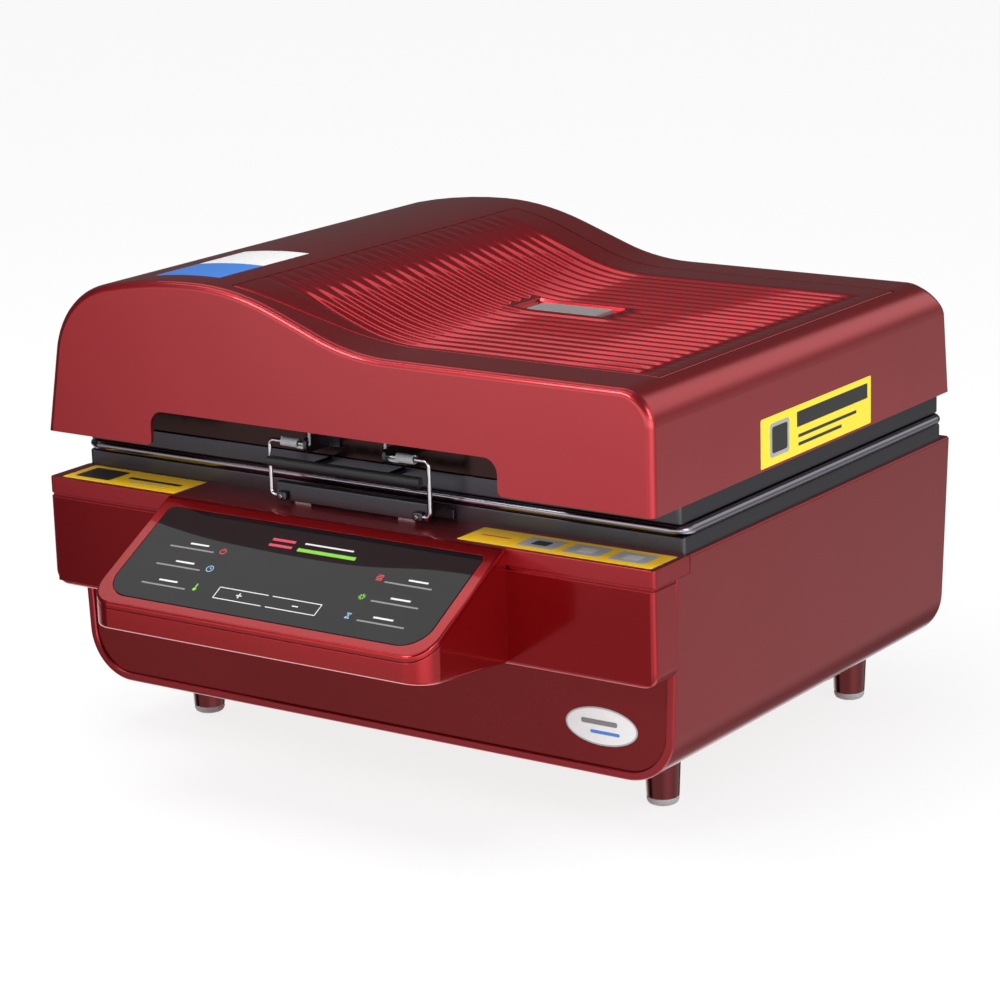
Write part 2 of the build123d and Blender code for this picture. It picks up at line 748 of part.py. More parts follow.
def cooling_fan():
    """Axial fan behind the rear panel: square frame with struts, rotor on a shaft, wire guard, bolts."""
    y1 = rear_inner_y
    y0 = y1 - fan_depth
    frame = block(cooling_x - fan_size / 2, cooling_x + fan_size / 2, y0, y1, cooling_z - fan_size / 2,
                  cooling_z + fan_size / 2)
    frame = fillet(frame.edges().filter_by(Axis.Y), 4)
    frame -= rod_y(fan_bore, y0 - 1, y1 + 1, cooling_x, cooling_z)
    for turn in (30, 150, 270):
        strut = block(0, fan_bore / 2 + 1, y0, y0 + 3, -2.5, 2.5)
        strut = strut.rotate(Axis.Y, turn)
        frame += Pos(cooling_x, 0, cooling_z) * strut
    frame += rod_y(rotor_hub_d, y0, y0 + 3, cooling_x, cooling_z)
    frame -= rod_y(rotor_shaft_d, y0 - 1, y0 + 4, cooling_x, cooling_z)
    for x, z in fan_bolt_places():
        frame -= rod_y(fan_bolt_d, y0 - 1, y1 + 1, x, z)
    hub_y0 = y0 + 3 + seam
    hub_y1 = y1 - 3
    rotor = rod_y(rotor_hub_d, hub_y0, hub_y1, cooling_x, cooling_z)
    rotor += rod_y(rotor_shaft_d - 2 * fit, y0, hub_y0, cooling_x, cooling_z)
    reach = fan_bore / 2 - rotor_clear
    for blade in range(rotor_blades):
        vane = Pos(rotor_hub_d / 2 + (reach - rotor_hub_d / 2) / 2 - 1, (hub_y0 + hub_y1) / 2, 0) * (
            Rot(38, 0, 0) * Box(reach - rotor_hub_d / 2, 1.6, 15))
        rotor += Pos(cooling_x, 0, cooling_z) * vane.rotate(Axis.Y, blade * 360 / rotor_blades)
    guard_y = base_rear + guard_wire / 2
    guard = None
    for turn in (45, 135):
        bar = Rot(0, turn, 0) * Box(2 * reach_of_bolts(), guard_wire, guard_wire * 1.5)
        bar = Pos(cooling_x, guard_y, cooling_z) * bar
        guard = bar if guard is None else guard + bar
    for step in range(guard_rings):
        outer = fan_bore / 2 - step * 9
        hoop = rod_y(2 * outer, guard_y - guard_wire / 2, guard_y + guard_wire / 2, cooling_x, cooling_z)
        guard += hoop - rod_y(2 * (outer - guard_wire), guard_y - guard_wire, guard_y + guard_wire,
                              cooling_x, cooling_z)
    bolts = []
    for x, z in fan_bolt_places():
        guard += rod_y(2 * fan_bolt_d, guard_y - guard_wire / 2, guard_y + guard_wire / 2, x, z)
        guard -= rod_y(fan_bolt_d, guard_y - guard_wire, guard_y + guard_wire, x, z)
        head_y = base_rear + guard_wire
        bolt = rod_y(fan_bolt_d, y0, head_y, x, z) + rod_y(fan_bolt_d * 1.7, head_y, head_y + 2, x, z)
        bolts.append(bolt)
    return frame, rotor, guard, bolts


def reach_of_bolts():
    """Distance from the fan's axis to a corner bolt."""
    return sqrt(2) * (fan_size / 2 - fan_bolt_inset)


# ---------------------------------------------------------------- membrane frame
def membrane_frame():
    """Steel frame with a rolled outer edge, a rebate for the membrane and two hinge arms."""
    frame = slab(rim_width, rim_depth, rim_corner_r, rim_bottom_z, rim_top_z, frame_y)
    for z in (rim_top_z, rim_bottom_z):
        rim = frame.edges().filter_by(lambda e: abs(e.center().Z - z) < 0.01)
        frame = fillet(rim, rim_height / 2 - 0.2)
    frame -= slab(well_width, well_length, well_corner_r, rim_bottom_z - 1, rim_top_z + 1, frame_y)
    frame -= membrane_blank(membrane_seat_z(), rim_top_z + 1, 0)
    for x in (-hinge_x, hinge_x):
        arm = block(x - middle_knuckle / 2, x + middle_knuckle / 2, frame_y + rim_depth / 2 - 8, hinge_y,
                    hinge_z - arm_thickness / 2, hinge_z + arm_thickness / 2)
        arm += rod_x(knuckle_d, x - middle_knuckle / 2, x + middle_knuckle / 2, hinge_y, hinge_z)
        frame += arm - rod_x(hinge_pin_d + 2 * fit, x - hinge_length, x + hinge_length, hinge_y, hinge_z)
    return frame


def membrane_seat_z():
    """Bottom of the rebate that the membrane lies in."""
    return rim_bottom_z + rim_height / 2


def membrane_blank(z0, z1, shrink):
    """Prism of the membrane's outline."""
    return slab(well_width + 2 * (membrane_grip - shrink), well_length + 2 * (membrane_grip - shrink),
                well_corner_r + membrane_grip - shrink, z0, z1, frame_y)


def membrane():
    """Flat silicone sheet, gripped all round."""
    z0 = membrane_seat_z()
    return membrane_blank(z0, z0 + membrane_thickness, seam)


def clamp_ring():
    """Ring that grips the membrane's edge, and its screws."""
    z0 = membrane_seat_z() + membrane_thickness
    z1 = rim_top_z - clamp_screw_head
    clamp = membrane_blank(z0, z1, seam)
    clamp -= slab(well_width, well_length, well_corner_r, z0 - 1, z1 + 1, frame_y)
    screws = []
    long_side = well_length / 2 + membrane_grip / 2
    short_side = well_width / 2 + membrane_grip / 2
    columns = [(i - 1.5) * clamp_front_pitch for i in range(4)]
    rows = (-clamp_side_pitch / 2, clamp_side_pitch / 2)
    places = [(x, y) for x in columns for y in (-long_side, long_side)]
    places += [(x, y) for x in (-short_side, short_side) for y in rows]
    for x, y in places:
        screws.append(rod_z(clamp_screw_d, z1, rim_top_z, x, frame_y + y))
    return clamp, screws


# ---------------------------------------------------------------- lid frame and heating chamber
def lid_frame():
    """Upper black frame: a pressed pan with a wall round its outside and a low hem round its mouth."""
    y = local_y(lid_frame_front) + lid_frame_depth / 2
    outer = (lid_frame_width, lid_frame_depth)
    inner = (lid_frame_width - 2 * sheet, lid_frame_depth - 2 * sheet)
    mouth = (well_width, well_length)
    hem_out = (well_width + 2 * sheet, well_length + 2 * sheet)
    frame = ring(outer, mouth, frame_corner_r, well_corner_r, lid_frame_bottom, chamber_bottom, y)
    frame += ring(outer, inner, frame_corner_r, frame_corner_r - sheet / 2, lid_frame_bottom, lid_frame_top,
                  y)
    frame += ring(hem_out, mouth, well_corner_r + sheet, well_corner_r, lid_frame_bottom,
                  chamber_bottom + lid_opening_hem, y)
    return frame - block(-half, half, local_y(0), local_y(lid_frame_front) + sheet,
                         lid_frame_bottom + lid_front_height, lid_frame_top + 1)


def heater_box():
    """Inverted steel box over the membrane."""
    box = slab(chamber_width, chamber_depth, 8, chamber_bottom, chamber_top, chamber_y)
    box -= slab(chamber_width - 2 * chamber_sheet, chamber_depth - 2 * chamber_sheet, 8 - chamber_sheet,
                chamber_bottom - 1, chamber_top - chamber_sheet, chamber_y)
    box -= rod_z(fan_shaft_d + 6, chamber_top - 3, chamber_top + 1, fan_x, fan_y)
    box -= rod_z(probe_d, chamber_top - 3, chamber_top + 1, probe_x(), fan_y)
    return box


def probe_x():
    """Temperature probe hangs in the middle of the heating tubes."""
    return 60.0


def insulation():
    """Fibre blanket on the chamber, cut out for the fan motor and the probe."""
    blanket = slab(chamber_width - 14, chamber_depth - 14, 8, chamber_top, chamber_top + blanket_thickness,
                   chamber_y)
    blanket -= rod_z(fan_motor_d + 6, chamber_top - 1, chamber_top + blanket_thickness + 1, fan_x, fan_y)
    blanket -= rod_z(14, chamber_top - 1, chamber_top + blanket_thickness + 1, probe_x(), fan_y)
    return blanket


def reflector():
    """Bright reflector plate over the tubes, hung from the chamber top."""
    z = chamber_top - reflector_drop
    left = fan_x + impeller_d / 2 + 14
    right = chamber_width / 2 - 16
    plate = block(left, right, chamber_y - chamber_depth / 2 + 14, chamber_y + chamber_depth / 2 - 14,
                  z, z + 1)
    plate -= rod_z(probe_d + 4, z - 1, z + 2, probe_x(), fan_y)
    for x in (left + 12, right - 12):
        for y in (chamber_y - hanger_spacing / 2, chamber_y + hanger_spacing / 2):
            plate += rod_z(6, z, chamber_top - chamber_sheet, x, y)
    return plate


def heating_tubes():
    """Quartz heating tubes and the end holders that carry them."""
    z = chamber_top - tube_drop
    tubes, holders = [], []
    rows = [chamber_y + (row - (tube_rows - 1) / 2) * tube_pitch for row in range(tube_rows)]
    for y in rows:
        tubes.append(rod_x(tube_d, tube_left, tube_right, y, z))
    span = (tube_rows - 1) * tube_pitch / 2 + 14
    for x in (tube_left + 10, tube_right - 10):
        holder = block(x - 2, x + 2, chamber_y - span, chamber_y + span, z - 9, chamber_top - reflector_drop)
        for y in rows:
            holder -= rod_x(tube_d, x - 3, x + 3, y, z)
        holders.append(holder)
    return tubes, holders


def circulation_fan():
    """Motor on the chamber top and the impeller that hangs in the chamber."""
    base_z = chamber_top
    motor = rod_z(fan_motor_d, base_z + 4, base_z + fan_motor_height, fan_x, fan_y)
    motor = chamfer(motor.edges().sort_by(Axis.Z)[-1], 4)
    motor += rod_z(fan_motor_d + 4, base_z, base_z + 4, fan_x, fan_y)
    motor -= rod_z(fan_shaft_d + 2 * fit, base_z - 1, base_z + 18, fan_x, fan_y)
    top = base_z - 10
    impeller = rod_z(impeller_hub_d, top - impeller_height - 2, top, fan_x, fan_y)
    impeller += rod_z(impeller_d, top - 1.5, top, fan_x, fan_y)
    impeller += rod_z(fan_shaft_d, top, base_z + 17, fan_x, fan_y)
    for blade in range(impeller_blades):
        vane = Pos((impeller_d + impeller_hub_d) / 4 - 1, 0, top - impeller_height / 2 - 1) * Box(
            (impeller_d - impeller_hub_d) / 2, 1.5, impeller_height)
        vane = vane.rotate(Axis((impeller_hub_d / 2, 0, 0), (0, 0, 1)), -25)
        impeller += Pos(fan_x, fan_y, 0) * vane.rotate(Axis.Z, blade * 360 / impeller_blades)
    return motor, impeller


def temperature_probe():
    """Sheathed probe through the chamber top."""
    probe = rod_z(probe_d, chamber_top - probe_length, chamber_top + 6, probe_x(), fan_y)
    return probe + rod_z(10, chamber_top, chamber_top + 4, probe_x(), fan_y)


# ---------------------------------------------------------------- hood
def hood_profile(inset):
    """Front outline: straight right wall, low flat top, S curve up to the crest, leaning left wall."""
    side = half - inset
    s = radians(slope_turn)
    rise = hood_crest_z - hood_flat_z
    straight = (rise - (crest_right_r + valley_r) * (1 - cos(s))) / sin(s)
    valley_end = (crest_x + (crest_right_r + valley_r) * sin(s) + straight * cos(s))
    right = Line((side, hood_bottom_z - (past if inset else 0)), (side, hood_side_z))
    corner = JernArc(right @ 1, (0, 1), hood_right_r - inset, 90)
    flat = Line(corner @ 1, (valley_end, hood_flat_z - inset))
    valley = JernArc(flat @ 1, (-1, 0), valley_r + inset, -slope_turn)
    ramp = Line(valley @ 1, (valley @ 1) + (valley % 1) * straight)
    crest = JernArc(ramp @ 1, ramp % 1, crest_right_r - inset, slope_turn)
    fall = JernArc(crest @ 1, crest % 1, crest_left_r - inset, crest_left_turn)
    shoulder = JernArc(fall @ 1, fall % 1, hood_left_r - inset, 90 - left_lean - crest_left_turn)
    down = (shoulder @ 1).Y - (hood_bottom_z - (past if inset else 0))
    left = Line(shoulder @ 1, (shoulder @ 1) + Vector(-down * tan(radians(left_lean)), -down))
    bottom = Line(left @ 1, right @ 0)
    return [right, corner, flat, valley, ramp, crest, fall, shoulder, left, bottom]


def hood_block(inset, y0, y1):
    """Prism of the hood outline with its rear leaning forward."""
    prism = front_outline(hood_profile(inset), y0, y1 + past)
    lean = tan(radians(rear_lean))
    top = hood_crest_z + past
    low = hood_bottom_z - 2 * past
    low_y = y1 + (hood_bottom_z - low) * lean
    top_y = y1 - (top - hood_bottom_z) * lean
    cutter = side_outline([(low_y, low), (top_y, top), (y1 + 2 * past, top), (y1 + 2 * past, low)],
                          -half - past, half + past)
    return prism - cutter


def hood_shell():
    """Moulded hood with the handle notch, and the opening and seat for the ribbed panel."""
    front = ledge_front
    outer = hood_block(0, front, base_rear)
    rear_face = outer.faces().sort_by(Axis.Y)[-1]
    outer = fillet(rear_face.edges().filter_by(lambda e: e.center().Z > hood_side_z - past), hood_rear_r)
    front_face = outer.faces().sort_by(Axis.Y)[0]
    outer = fillet(front_face.edges().filter_by(lambda e: e.center().Z > hood_bottom_z + 1), hood_front_r)
    inner = hood_block(moulding, front + moulding, base_rear - moulding)
    rear_face = inner.faces().sort_by(Axis.Y)[-1]
    inner = fillet(rear_face.edges().filter_by(lambda e: e.center().Z > hood_side_z - past),
                   hood_rear_r - moulding)
    shell = outer - inner
    notch = slab_xz(notch_left, notch_right, hood_bottom_z - 2 * past, notch_top_z, notch_r, front - past,
                    front + moulding + past / 4)
    shell -= notch
    shell -= panel_band(panel_flange, seam / 2)
    shell -= panel_prism(-panel_seat, seam / 2)
    return shell


def slab_xz(x0, x1, z0, z1, radius, y0, y1):
    """Upright plate prism along Y with rounded corners."""
    outline = Pos((x0 + x1) / 2, (z0 + z1) / 2) * RectangleRounded(x1 - x0, z1 - z0, radius)
    return Pos(0, y0, 0) * extrude(Plane.XZ * outline, -(y1 - y0))


def panel_prism(grow, gap):
    """Tall prism of the ribbed panel's plan outline, with its swept front edge."""
    x0, x1 = panel_left - grow - gap, panel_right + grow + gap
    y1 = local_y(panel_rear) + grow + gap
    y_left = local_y(panel_front_left) - grow - gap
    y_right = local_y(panel_front_right) - grow - gap
    front = Spline((x0, y_left), (x0 + panel_sweep_half, (y_right + y_left) / 2),
                   tangents=((1, 0.1), (1, 0.25)))
    sweep_front = Spline(front @ 1, (x0 + panel_sweep, y_right), tangents=(front % 1, (1, 0)))
    sides = Polyline(sweep_front @ 1, (x1, y_right), (x1, y1), (x0, y1), (x0, y_left))
    face = make_face([front, sweep_front, sides])
    return Pos(0, 0, hood_bottom_z + 2 * past) * extrude(face, hood_crest_z)


def hood_layer(top, bottom):
    """Solid between two depths under the hood's top surface."""
    y0, y1 = ledge_front - 10, base_rear + 10
    return front_outline(hood_profile(top), y0, y1) - front_outline(hood_profile(bottom), y0 - 1, y1 + 1)


def panel_band(depth, gap):
    """Flange layer of the panel, or the seat for it when gap is given."""
    return panel_prism(0, gap) & (front_outline(hood_profile(-5), ledge_front, base_rear)
                                  - front_outline(hood_profile(depth), ledge_front - 1, base_rear + 1))


def groove_tool():
    """One groove between ribs: follows the S curve and runs out to nothing at both ends."""
    floor = front_outline(hood_profile(groove_depth), -1, groove_width + 1)
    above = block(groove_left, groove_right, 0, groove_width, hood_flat_z - 20, hood_crest_z + 20)
    below = block(-groove_ramp, groove_ramp, -2, groove_width + 2, -30, 0)
    right_end = Pos(groove_right, 0, hood_flat_z) * Rot(0, -groove_ramp_angle, 0) * below
    turn = asin((groove_left - crest_x) / crest_right_r)
    surface_z = hood_crest_z - crest_right_r * (1 - cos(turn))
    left_end = Pos(groove_left, 0, surface_z) * Rot(0, degrees(turn) + groove_ramp_angle, 0) * below
    return above - floor - right_end - left_end


def ribbed_panel():
    """Top panel: flange all round, thicker body, parallel grooves and the badge pocket."""
    body = panel_prism(-panel_seat, -seam / 2) & hood_layer(0, panel_body)
    flange = panel_prism(0, -seam / 2) & hood_layer(0, panel_flange)
    panel = body + flange
    tool = groove_tool()
    for index in range(rib_count):
        y = local_y(groove_first + index * rib_pitch) - groove_width / 2
        panel -= Pos(0, y, 0) * tool
    pocket_top = hood_flat_z + 5
    margin = badge_pocket
    pocket = block(badge_x - badge_length / 2 - margin, badge_x + badge_length / 2 + margin,
                   local_y(badge_y) - badge_width / 2 - margin, local_y(badge_y) + badge_width / 2 + margin,
                   badge_seat_z(), pocket_top)
    return panel - pocket


def badge_seat_z():
    """Floor of the badge pocket."""
    return hood_flat_z - groove_depth


def badge_plate():
    """Plain metal plate in the pocket."""
    plate = block(badge_x - badge_length / 2, badge_x + badge_length / 2, local_y(badge_y) - badge_width / 2,
                  local_y(badge_y) + badge_width / 2, badge_seat_z(), badge_seat_z() + badge_thickness)
    return fillet(plate.edges().filter_by(Axis.Z), 3)


def hood_brackets():
    """Bent straps that carry the hood's side walls on the lid frame."""
    wall = hood_profile(moulding)[8]
    lean = tan(radians(left_lean))
    z0 = chamber_bottom
    z1 = lid_frame_top + 1
    z2 = z1 + bracket_rise
    foot_x0 = chamber_width / 2 + 2
    foot_x1 = lid_frame_width / 2 - sheet - seam
    right_wall = half - moulding
    left_wall = -(wall @ 1).X - ((z1 - (wall @ 1).Y) * lean)
    t = bracket_sheet
    left_top = left_wall - bracket_rise * lean
    pieces = []
    for side, low, high in ((1, right_wall, right_wall), (-1, left_wall, left_top)):
        strap = [(foot_x0, z0), (foot_x1, z0), (foot_x1, z1), (low, z1), (high, z2), (high - t, z2),
                 (low - t, z1 + t), (foot_x1 - t, z1 + t), (foot_x1 - t, z0 + t), (foot_x0, z0 + t)]
        outline = Polyline(*[(side * x, z) for x, z in strap], close=True)
        for y in (local_y(bracket_y), local_y(base_depth - bracket_y)):
            pieces.append(front_outline(outline, y - bracket_width / 2, y + bracket_width / 2))
    return pieces


# ---------------------------------------------------------------- hinges
def knuckle(x0, x1):
    """Hollow hinge knuckle."""
    return rod_x(knuckle_d, x0, x1, hinge_y, hinge_z) - rod_x(hinge_pin_d + 2 * fit, x0 - 1, x1 + 1, hinge_y,
                                                             hinge_z)


def hinge_parts():
    """Two rear hinges: lower leaves on the base, upper leaves on the hood, and their pins."""
    lower, upper, pins = [], [], []
    bore = rod_x(hinge_pin_d + 2 * fit, -half, half, hinge_y, hinge_z)
    for x in (-hinge_x, hinge_x):
        x0, x1 = x - hinge_length / 2, x + hinge_length / 2
        plate = block(x0, x1, base_rear, base_rear + leaf, hinge_z - leaf_clear - lower_leaf_height,
                      hinge_z - leaf_clear)
        for k0 in (x0, x1 - outer_knuckle):
            plate += block(k0, k0 + outer_knuckle, base_rear, base_rear + leaf, hinge_z - leaf_clear - 1,
                           hinge_z)
            plate += knuckle(k0, k0 + outer_knuckle)
        lower.append(plate - bore)
        inner = hinge_length / 2 - outer_knuckle - seam
        lean = tan(radians(rear_lean))
        y_low = base_rear
        z_low, z_bend = hinge_z + leaf_clear, hood_bottom_z
        z_top = z_bend + upper_leaf_height
        upper_plate = side_outline([
            (y_low, z_low), (y_low, z_bend), (y_low - (z_top - z_bend) * lean, z_top),
            (y_low - (z_top - z_bend) * lean + leaf, z_top), (y_low + leaf, z_bend), (y_low + leaf, z_low)],
            x0, x1)
        centre = middle_knuckle / 2 + seam
        for k0, k1 in ((x - inner, x - centre), (x + centre, x + inner)):
            upper_plate += block(k0, k1, base_rear, base_rear + leaf, hinge_z, z_low + 1)
            upper_plate += knuckle(k0, k1)
        upper.append(upper_plate - bore)
        pin = rod_x(hinge_pin_d, x0, x1, hinge_y, hinge_z)
        pin += rod_x(pin_head_d, x0 - pin_head, x0, hinge_y, hinge_z)
        pin += rod_x(pin_head_d, x1, x1 + pin_head, hinge_y, hinge_z)
        pins.append(pin)
    return lower, upper, pins


# ---------------------------------------------------------------- handle and latch
def handle():
    """Half round grip bar and the two posts that carry it on the lid frame."""
    z0, z1 = handle_z - handle_height / 2, handle_z + handle_height / 2
    front, rear = local_y(handle_front), local_y(handle_front + handle_depth)
    bar = block(-handle_length / 2, handle_length / 2, front, rear, z0, z1)
    long_edges = bar.edges().filter_by(Axis.X).filter_by(lambda e: e.center().Y < front + 0.1)
    bar = fillet(long_edges, handle_height / 2 - 0.2)
    posts = []
    for x in (-handle_post_x, handle_post_x):
        posts.append(rod_y(handle_post_d, rear, local_y(lid_frame_front), x, handle_post_z))
    return bar, posts


def latch_lugs():
    """Two brackets on the heater box that carry the latch pivots."""
    lugs = []
    y = local_y(latch_y)
    for side in (-1, 1):
        foot_y = local_y(chamber_front) - sheet
        plate = block(lug_x - lug_thickness / 2, lug_x + lug_thickness / 2, y - 5, foot_y,
                      latch_z - 6, latch_z + 6)
        plate = fillet(plate.edges().filter_by(Axis.X).sort_by(Axis.Y)[:2], 5)
        plate += block(lug_x - 12, lug_x + lug_thickness / 2, foot_y, local_y(chamber_front),
                       latch_z - 6, latch_z + 6)
        plate -= rod_x(wire_d + 2 * fit, lug_x - 5, lug_x + 5, y, latch_z)
        lugs.append(plate if side > 0 else mirror(plate, Plane.YZ))
    return lugs


def latch_wires():
    """Bent wires: pivot end, long arm and the foot that carries the hook plate."""
    y = local_y(latch_y)
    x0 = lug_x - lug_thickness / 2 - 1
    path = FilletPolyline((x0, y, latch_z), (wire_x, y, latch_z), (wire_x, y, wire_bottom_z),
                          (wire_x - wire_foot - wire_d, y, wire_bottom_z), radius=wire_bend_r)
    wire = sweep(Plane(origin=path @ 0, z_dir=path % 0) * Circle(wire_d / 2), path)
    return both_sides(wire)


def latch_springs():
    """Torsion springs round the pivots: close coils and one leg that bears behind the hood's edge."""
    y = local_y(latch_y)
    coil_r = coil_d / 2
    wire_r = coil_wire_d / 2
    bore_r = wire_d / 2 + seam
    start = Polyline((coil_from, bore_r), (coil_from, coil_r - wire_r / 2))
    lines = [start]
    for turn in range(coil_turns):
        x = coil_from + turn * coil_wire_d
        next_x = x + coil_wire_d
        lines.append(Polyline((x, coil_r - wire_r / 2), (x + wire_r, coil_r), (next_x, coil_r - wire_r / 2)))
    x_end = coil_from + coil_turns * coil_wire_d
    lines.append(Polyline((x_end, coil_r - wire_r / 2), (x_end, bore_r), (coil_from, bore_r)))
    coil = revolve(make_face(lines), Axis.X)
    coil = Pos(0, y, latch_z) * coil
    leg_y = y + coil_r - wire_r - fit
    leg_start = coil_from + coil_wire_d
    leg_path = FilletPolyline((leg_start, leg_y, latch_z), (leg_start, leg_y, latch_z + 5),
                              (leg_x, leg_y, latch_z + 15), (leg_x, leg_y, latch_z + leg_rise), radius=3)
    leg = sweep(Plane(origin=leg_path @ 0, z_dir=leg_path % 0) * Circle(wire_r), leg_path)
    return both_sides(coil + leg)


def hook_parts():
    """Hook plate between the wires, the clips that hold the wires' feet and their screws."""
    plate_front = local_y(latch_y) + wire_d / 2
    plate = block(-hook_width / 2, hook_width / 2, plate_front, plate_front + hook_thickness, hook_bottom_z,
                  hook_bottom_z + hook_height)
    plate += block(-hook_width / 2 + 6, hook_width / 2 - 6, plate_front, plate_front + hook_flange,
                   hook_bottom_z + hook_height - hook_thickness, hook_bottom_z + hook_height)
    clips, screws = [], []
    clip_x = wire_x - wire_foot
    clip = block(clip_x - clip_width / 2, clip_x + clip_width / 2, plate_front - clip_depth, plate_front,
                 wire_bottom_z - clip_height / 2, wire_bottom_z + clip_height / 2)
    clip = fillet(clip.edges().filter_by(Axis.X).sort_by(Axis.Y)[:2], 1.5)
    clip -= rod_x(wire_d, clip_x - clip_width, clip_x + clip_width, local_y(latch_y), wire_bottom_z)
    clip -= block(clip_x - clip_width, clip_x + clip_width, local_y(latch_y), plate_front + 1,
                  wire_bottom_z - wire_d / 2, wire_bottom_z + wire_d / 2)
    for piece in both_sides(clip):
        clips.append(piece)
    clip_front = plate_front - clip_depth
    screw = rod_y(latch_screw_d, clip_front - latch_screw_head, clip_front, clip_x, wire_bottom_z)
    return plate, clips, both_sides(screw)


def catch_blocks():
    """Angles on the deck that the hook plate closes against."""
    face_y = local_y(latch_y) + wire_d / 2 + hook_thickness + 1.0
    block_one = block(catch_x - catch_width / 2, catch_x + catch_width / 2, face_y, face_y + catch_thickness,
                      deck_z, deck_z + catch_height - hook_thickness)
    block_one += block(catch_x - catch_width / 2, catch_x + catch_width / 2, face_y, face_y + 12,
                       deck_z, deck_z + catch_thickness)
    return both_sides(block_one)


# ---------------------------------------------------------------- build
def main():
    """Build and write every node."""
    os.makedirs("parts", exist_ok=True)
    save("base_wrap", base_wrap())
    save("base_front_panel", base_front_panel())
    save("base_rear_panel", base_rear_panel())
    save("deck_cap", deck_cap())
    save("ledge_cover", ledge_cover())
    save("console_housing", console_housing())
    save("console_glass", console_glass())
    save("console_board", console_board())
    posts, tips, bolts = feet()
    save("foot_posts", *posts)
    save("foot_tips", *tips)
    save("foot_bolts", *bolts)
    save("tray_frame", tray_frame())
    save("well_seal", well_seal(gasket_height + seam))
    save("well_liner", well_liner())
    save("vacuum_bed", vacuum_bed())
    pump, saddle = vacuum_pump()
    save("vacuum_pump", pump)
    save("pump_saddle", saddle)
    valve, hose = suction_line()
    save("solenoid_valve", valve)
    save("suction_hose", hose)
    save("power_board", power_board())
    save("mains_inlet", mains_inlet())
    switch_frame, rocker = rocker_switch()
    save("switch_frame", switch_frame)
    save("switch_rocker", rocker)
    fan_frame, rotor, guard, fan_bolts = cooling_fan()
    save("cooling_fan_frame", fan_frame)
    save("cooling_fan_rotor", rotor)
    save("cooling_fan_guard", guard)
    save("cooling_fan_bolts", *fan_bolts)
    save("catch_blocks", *catch_blocks())
    save("membrane_frame", membrane_frame())
    save("membrane", membrane())
    clamp, clamp_screws = clamp_ring()
    save("clamp_ring", clamp)
    save("clamp_screws", *clamp_screws)
    save("lid_frame", lid_frame())
    save("heater_box", heater_box())
    save("insulation", insulation())
    save("reflector", reflector())
    tubes, holders = heating_tubes()
    save("heating_tubes", *tubes)
    save("tube_holders", *holders)
    motor, impeller = circulation_fan()
    save("fan_motor", motor)
    save("fan_impeller", impeller)
    save("temperature_probe", temperature_probe())
    save("hood_shell", hood_shell())
    save("ribbed_panel", ribbed_panel())
    save("badge_plate", badge_plate())
    save("hood_brackets", *hood_brackets())
    lower, upper, pins = hinge_parts()
    save("lower_hinge_leaves", *lower)
    save("upper_hinge_leaves", *upper)
    save("hinge_pins", *pins)
    bar, handle_posts = handle()
    save("handle_bar", bar)
    save("handle_posts", *handle_posts)
    save("latch_lugs", *latch_lugs())
    save("latch_wires", *latch_wires())
    save("latch_springs", *latch_springs())
    plate, clips, latch_screws = hook_parts()
    save("hook_plate", plate)
    save("latch_clips", *clips)
    save("latch_screws", *latch_screws)


main()
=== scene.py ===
"""Vacuum sublimation heat press: the finished look of its pieces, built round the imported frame.

Laid out as an add-on: the settings hold the sizes and colours that a user would change, each
operator makes one piece or one group of like pieces, and main() calls them in order. Sizes are
written in millimetres, y counts from the front of the base box, and at() turns such a place into
metres of the shared frame. Only the stage is written in metres.
"""
import json
from contextlib import contextmanager
from math import ceil, cos, hypot, pi, radians, sin, tan

import bpy
from bpy.props import FloatProperty, FloatVectorProperty, IntProperty, PointerProperty
from mathutils import Matrix, Vector


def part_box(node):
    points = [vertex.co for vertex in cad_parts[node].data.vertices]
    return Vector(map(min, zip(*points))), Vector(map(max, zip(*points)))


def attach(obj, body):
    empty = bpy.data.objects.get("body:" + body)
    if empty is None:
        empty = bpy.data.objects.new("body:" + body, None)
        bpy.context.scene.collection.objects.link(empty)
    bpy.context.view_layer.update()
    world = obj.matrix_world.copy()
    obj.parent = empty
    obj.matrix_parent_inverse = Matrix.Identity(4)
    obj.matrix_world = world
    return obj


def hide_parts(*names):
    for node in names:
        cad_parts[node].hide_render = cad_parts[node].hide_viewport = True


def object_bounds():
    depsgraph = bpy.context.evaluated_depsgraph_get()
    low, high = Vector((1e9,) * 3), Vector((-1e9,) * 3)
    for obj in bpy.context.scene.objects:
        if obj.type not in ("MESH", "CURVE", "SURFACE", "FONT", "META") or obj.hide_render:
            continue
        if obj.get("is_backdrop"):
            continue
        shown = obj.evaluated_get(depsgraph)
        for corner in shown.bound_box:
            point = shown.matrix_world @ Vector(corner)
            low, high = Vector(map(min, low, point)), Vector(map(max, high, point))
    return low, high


bl_info = {
    "name": "Heat Press Builder",
    "version": (1, 0, 0),
    "blender": (4, 5, 0),
    "location": "3D View > Sidebar > Heat Press",
    "description": "Models and finishes the pieces of a vacuum sublimation heat press",
    "category": "Object",
}

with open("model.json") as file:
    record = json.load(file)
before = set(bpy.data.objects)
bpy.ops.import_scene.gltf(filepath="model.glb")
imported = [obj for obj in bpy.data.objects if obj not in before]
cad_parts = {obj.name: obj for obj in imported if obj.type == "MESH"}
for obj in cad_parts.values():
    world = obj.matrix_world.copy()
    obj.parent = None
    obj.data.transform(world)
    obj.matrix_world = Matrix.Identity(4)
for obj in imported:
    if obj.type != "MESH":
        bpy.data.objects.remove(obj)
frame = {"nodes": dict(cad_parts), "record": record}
CAD_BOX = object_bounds()
MM = 0.001
LEAST_RUN, NEAR = 0.01, 0.01
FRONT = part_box("base_wrap")[0].y


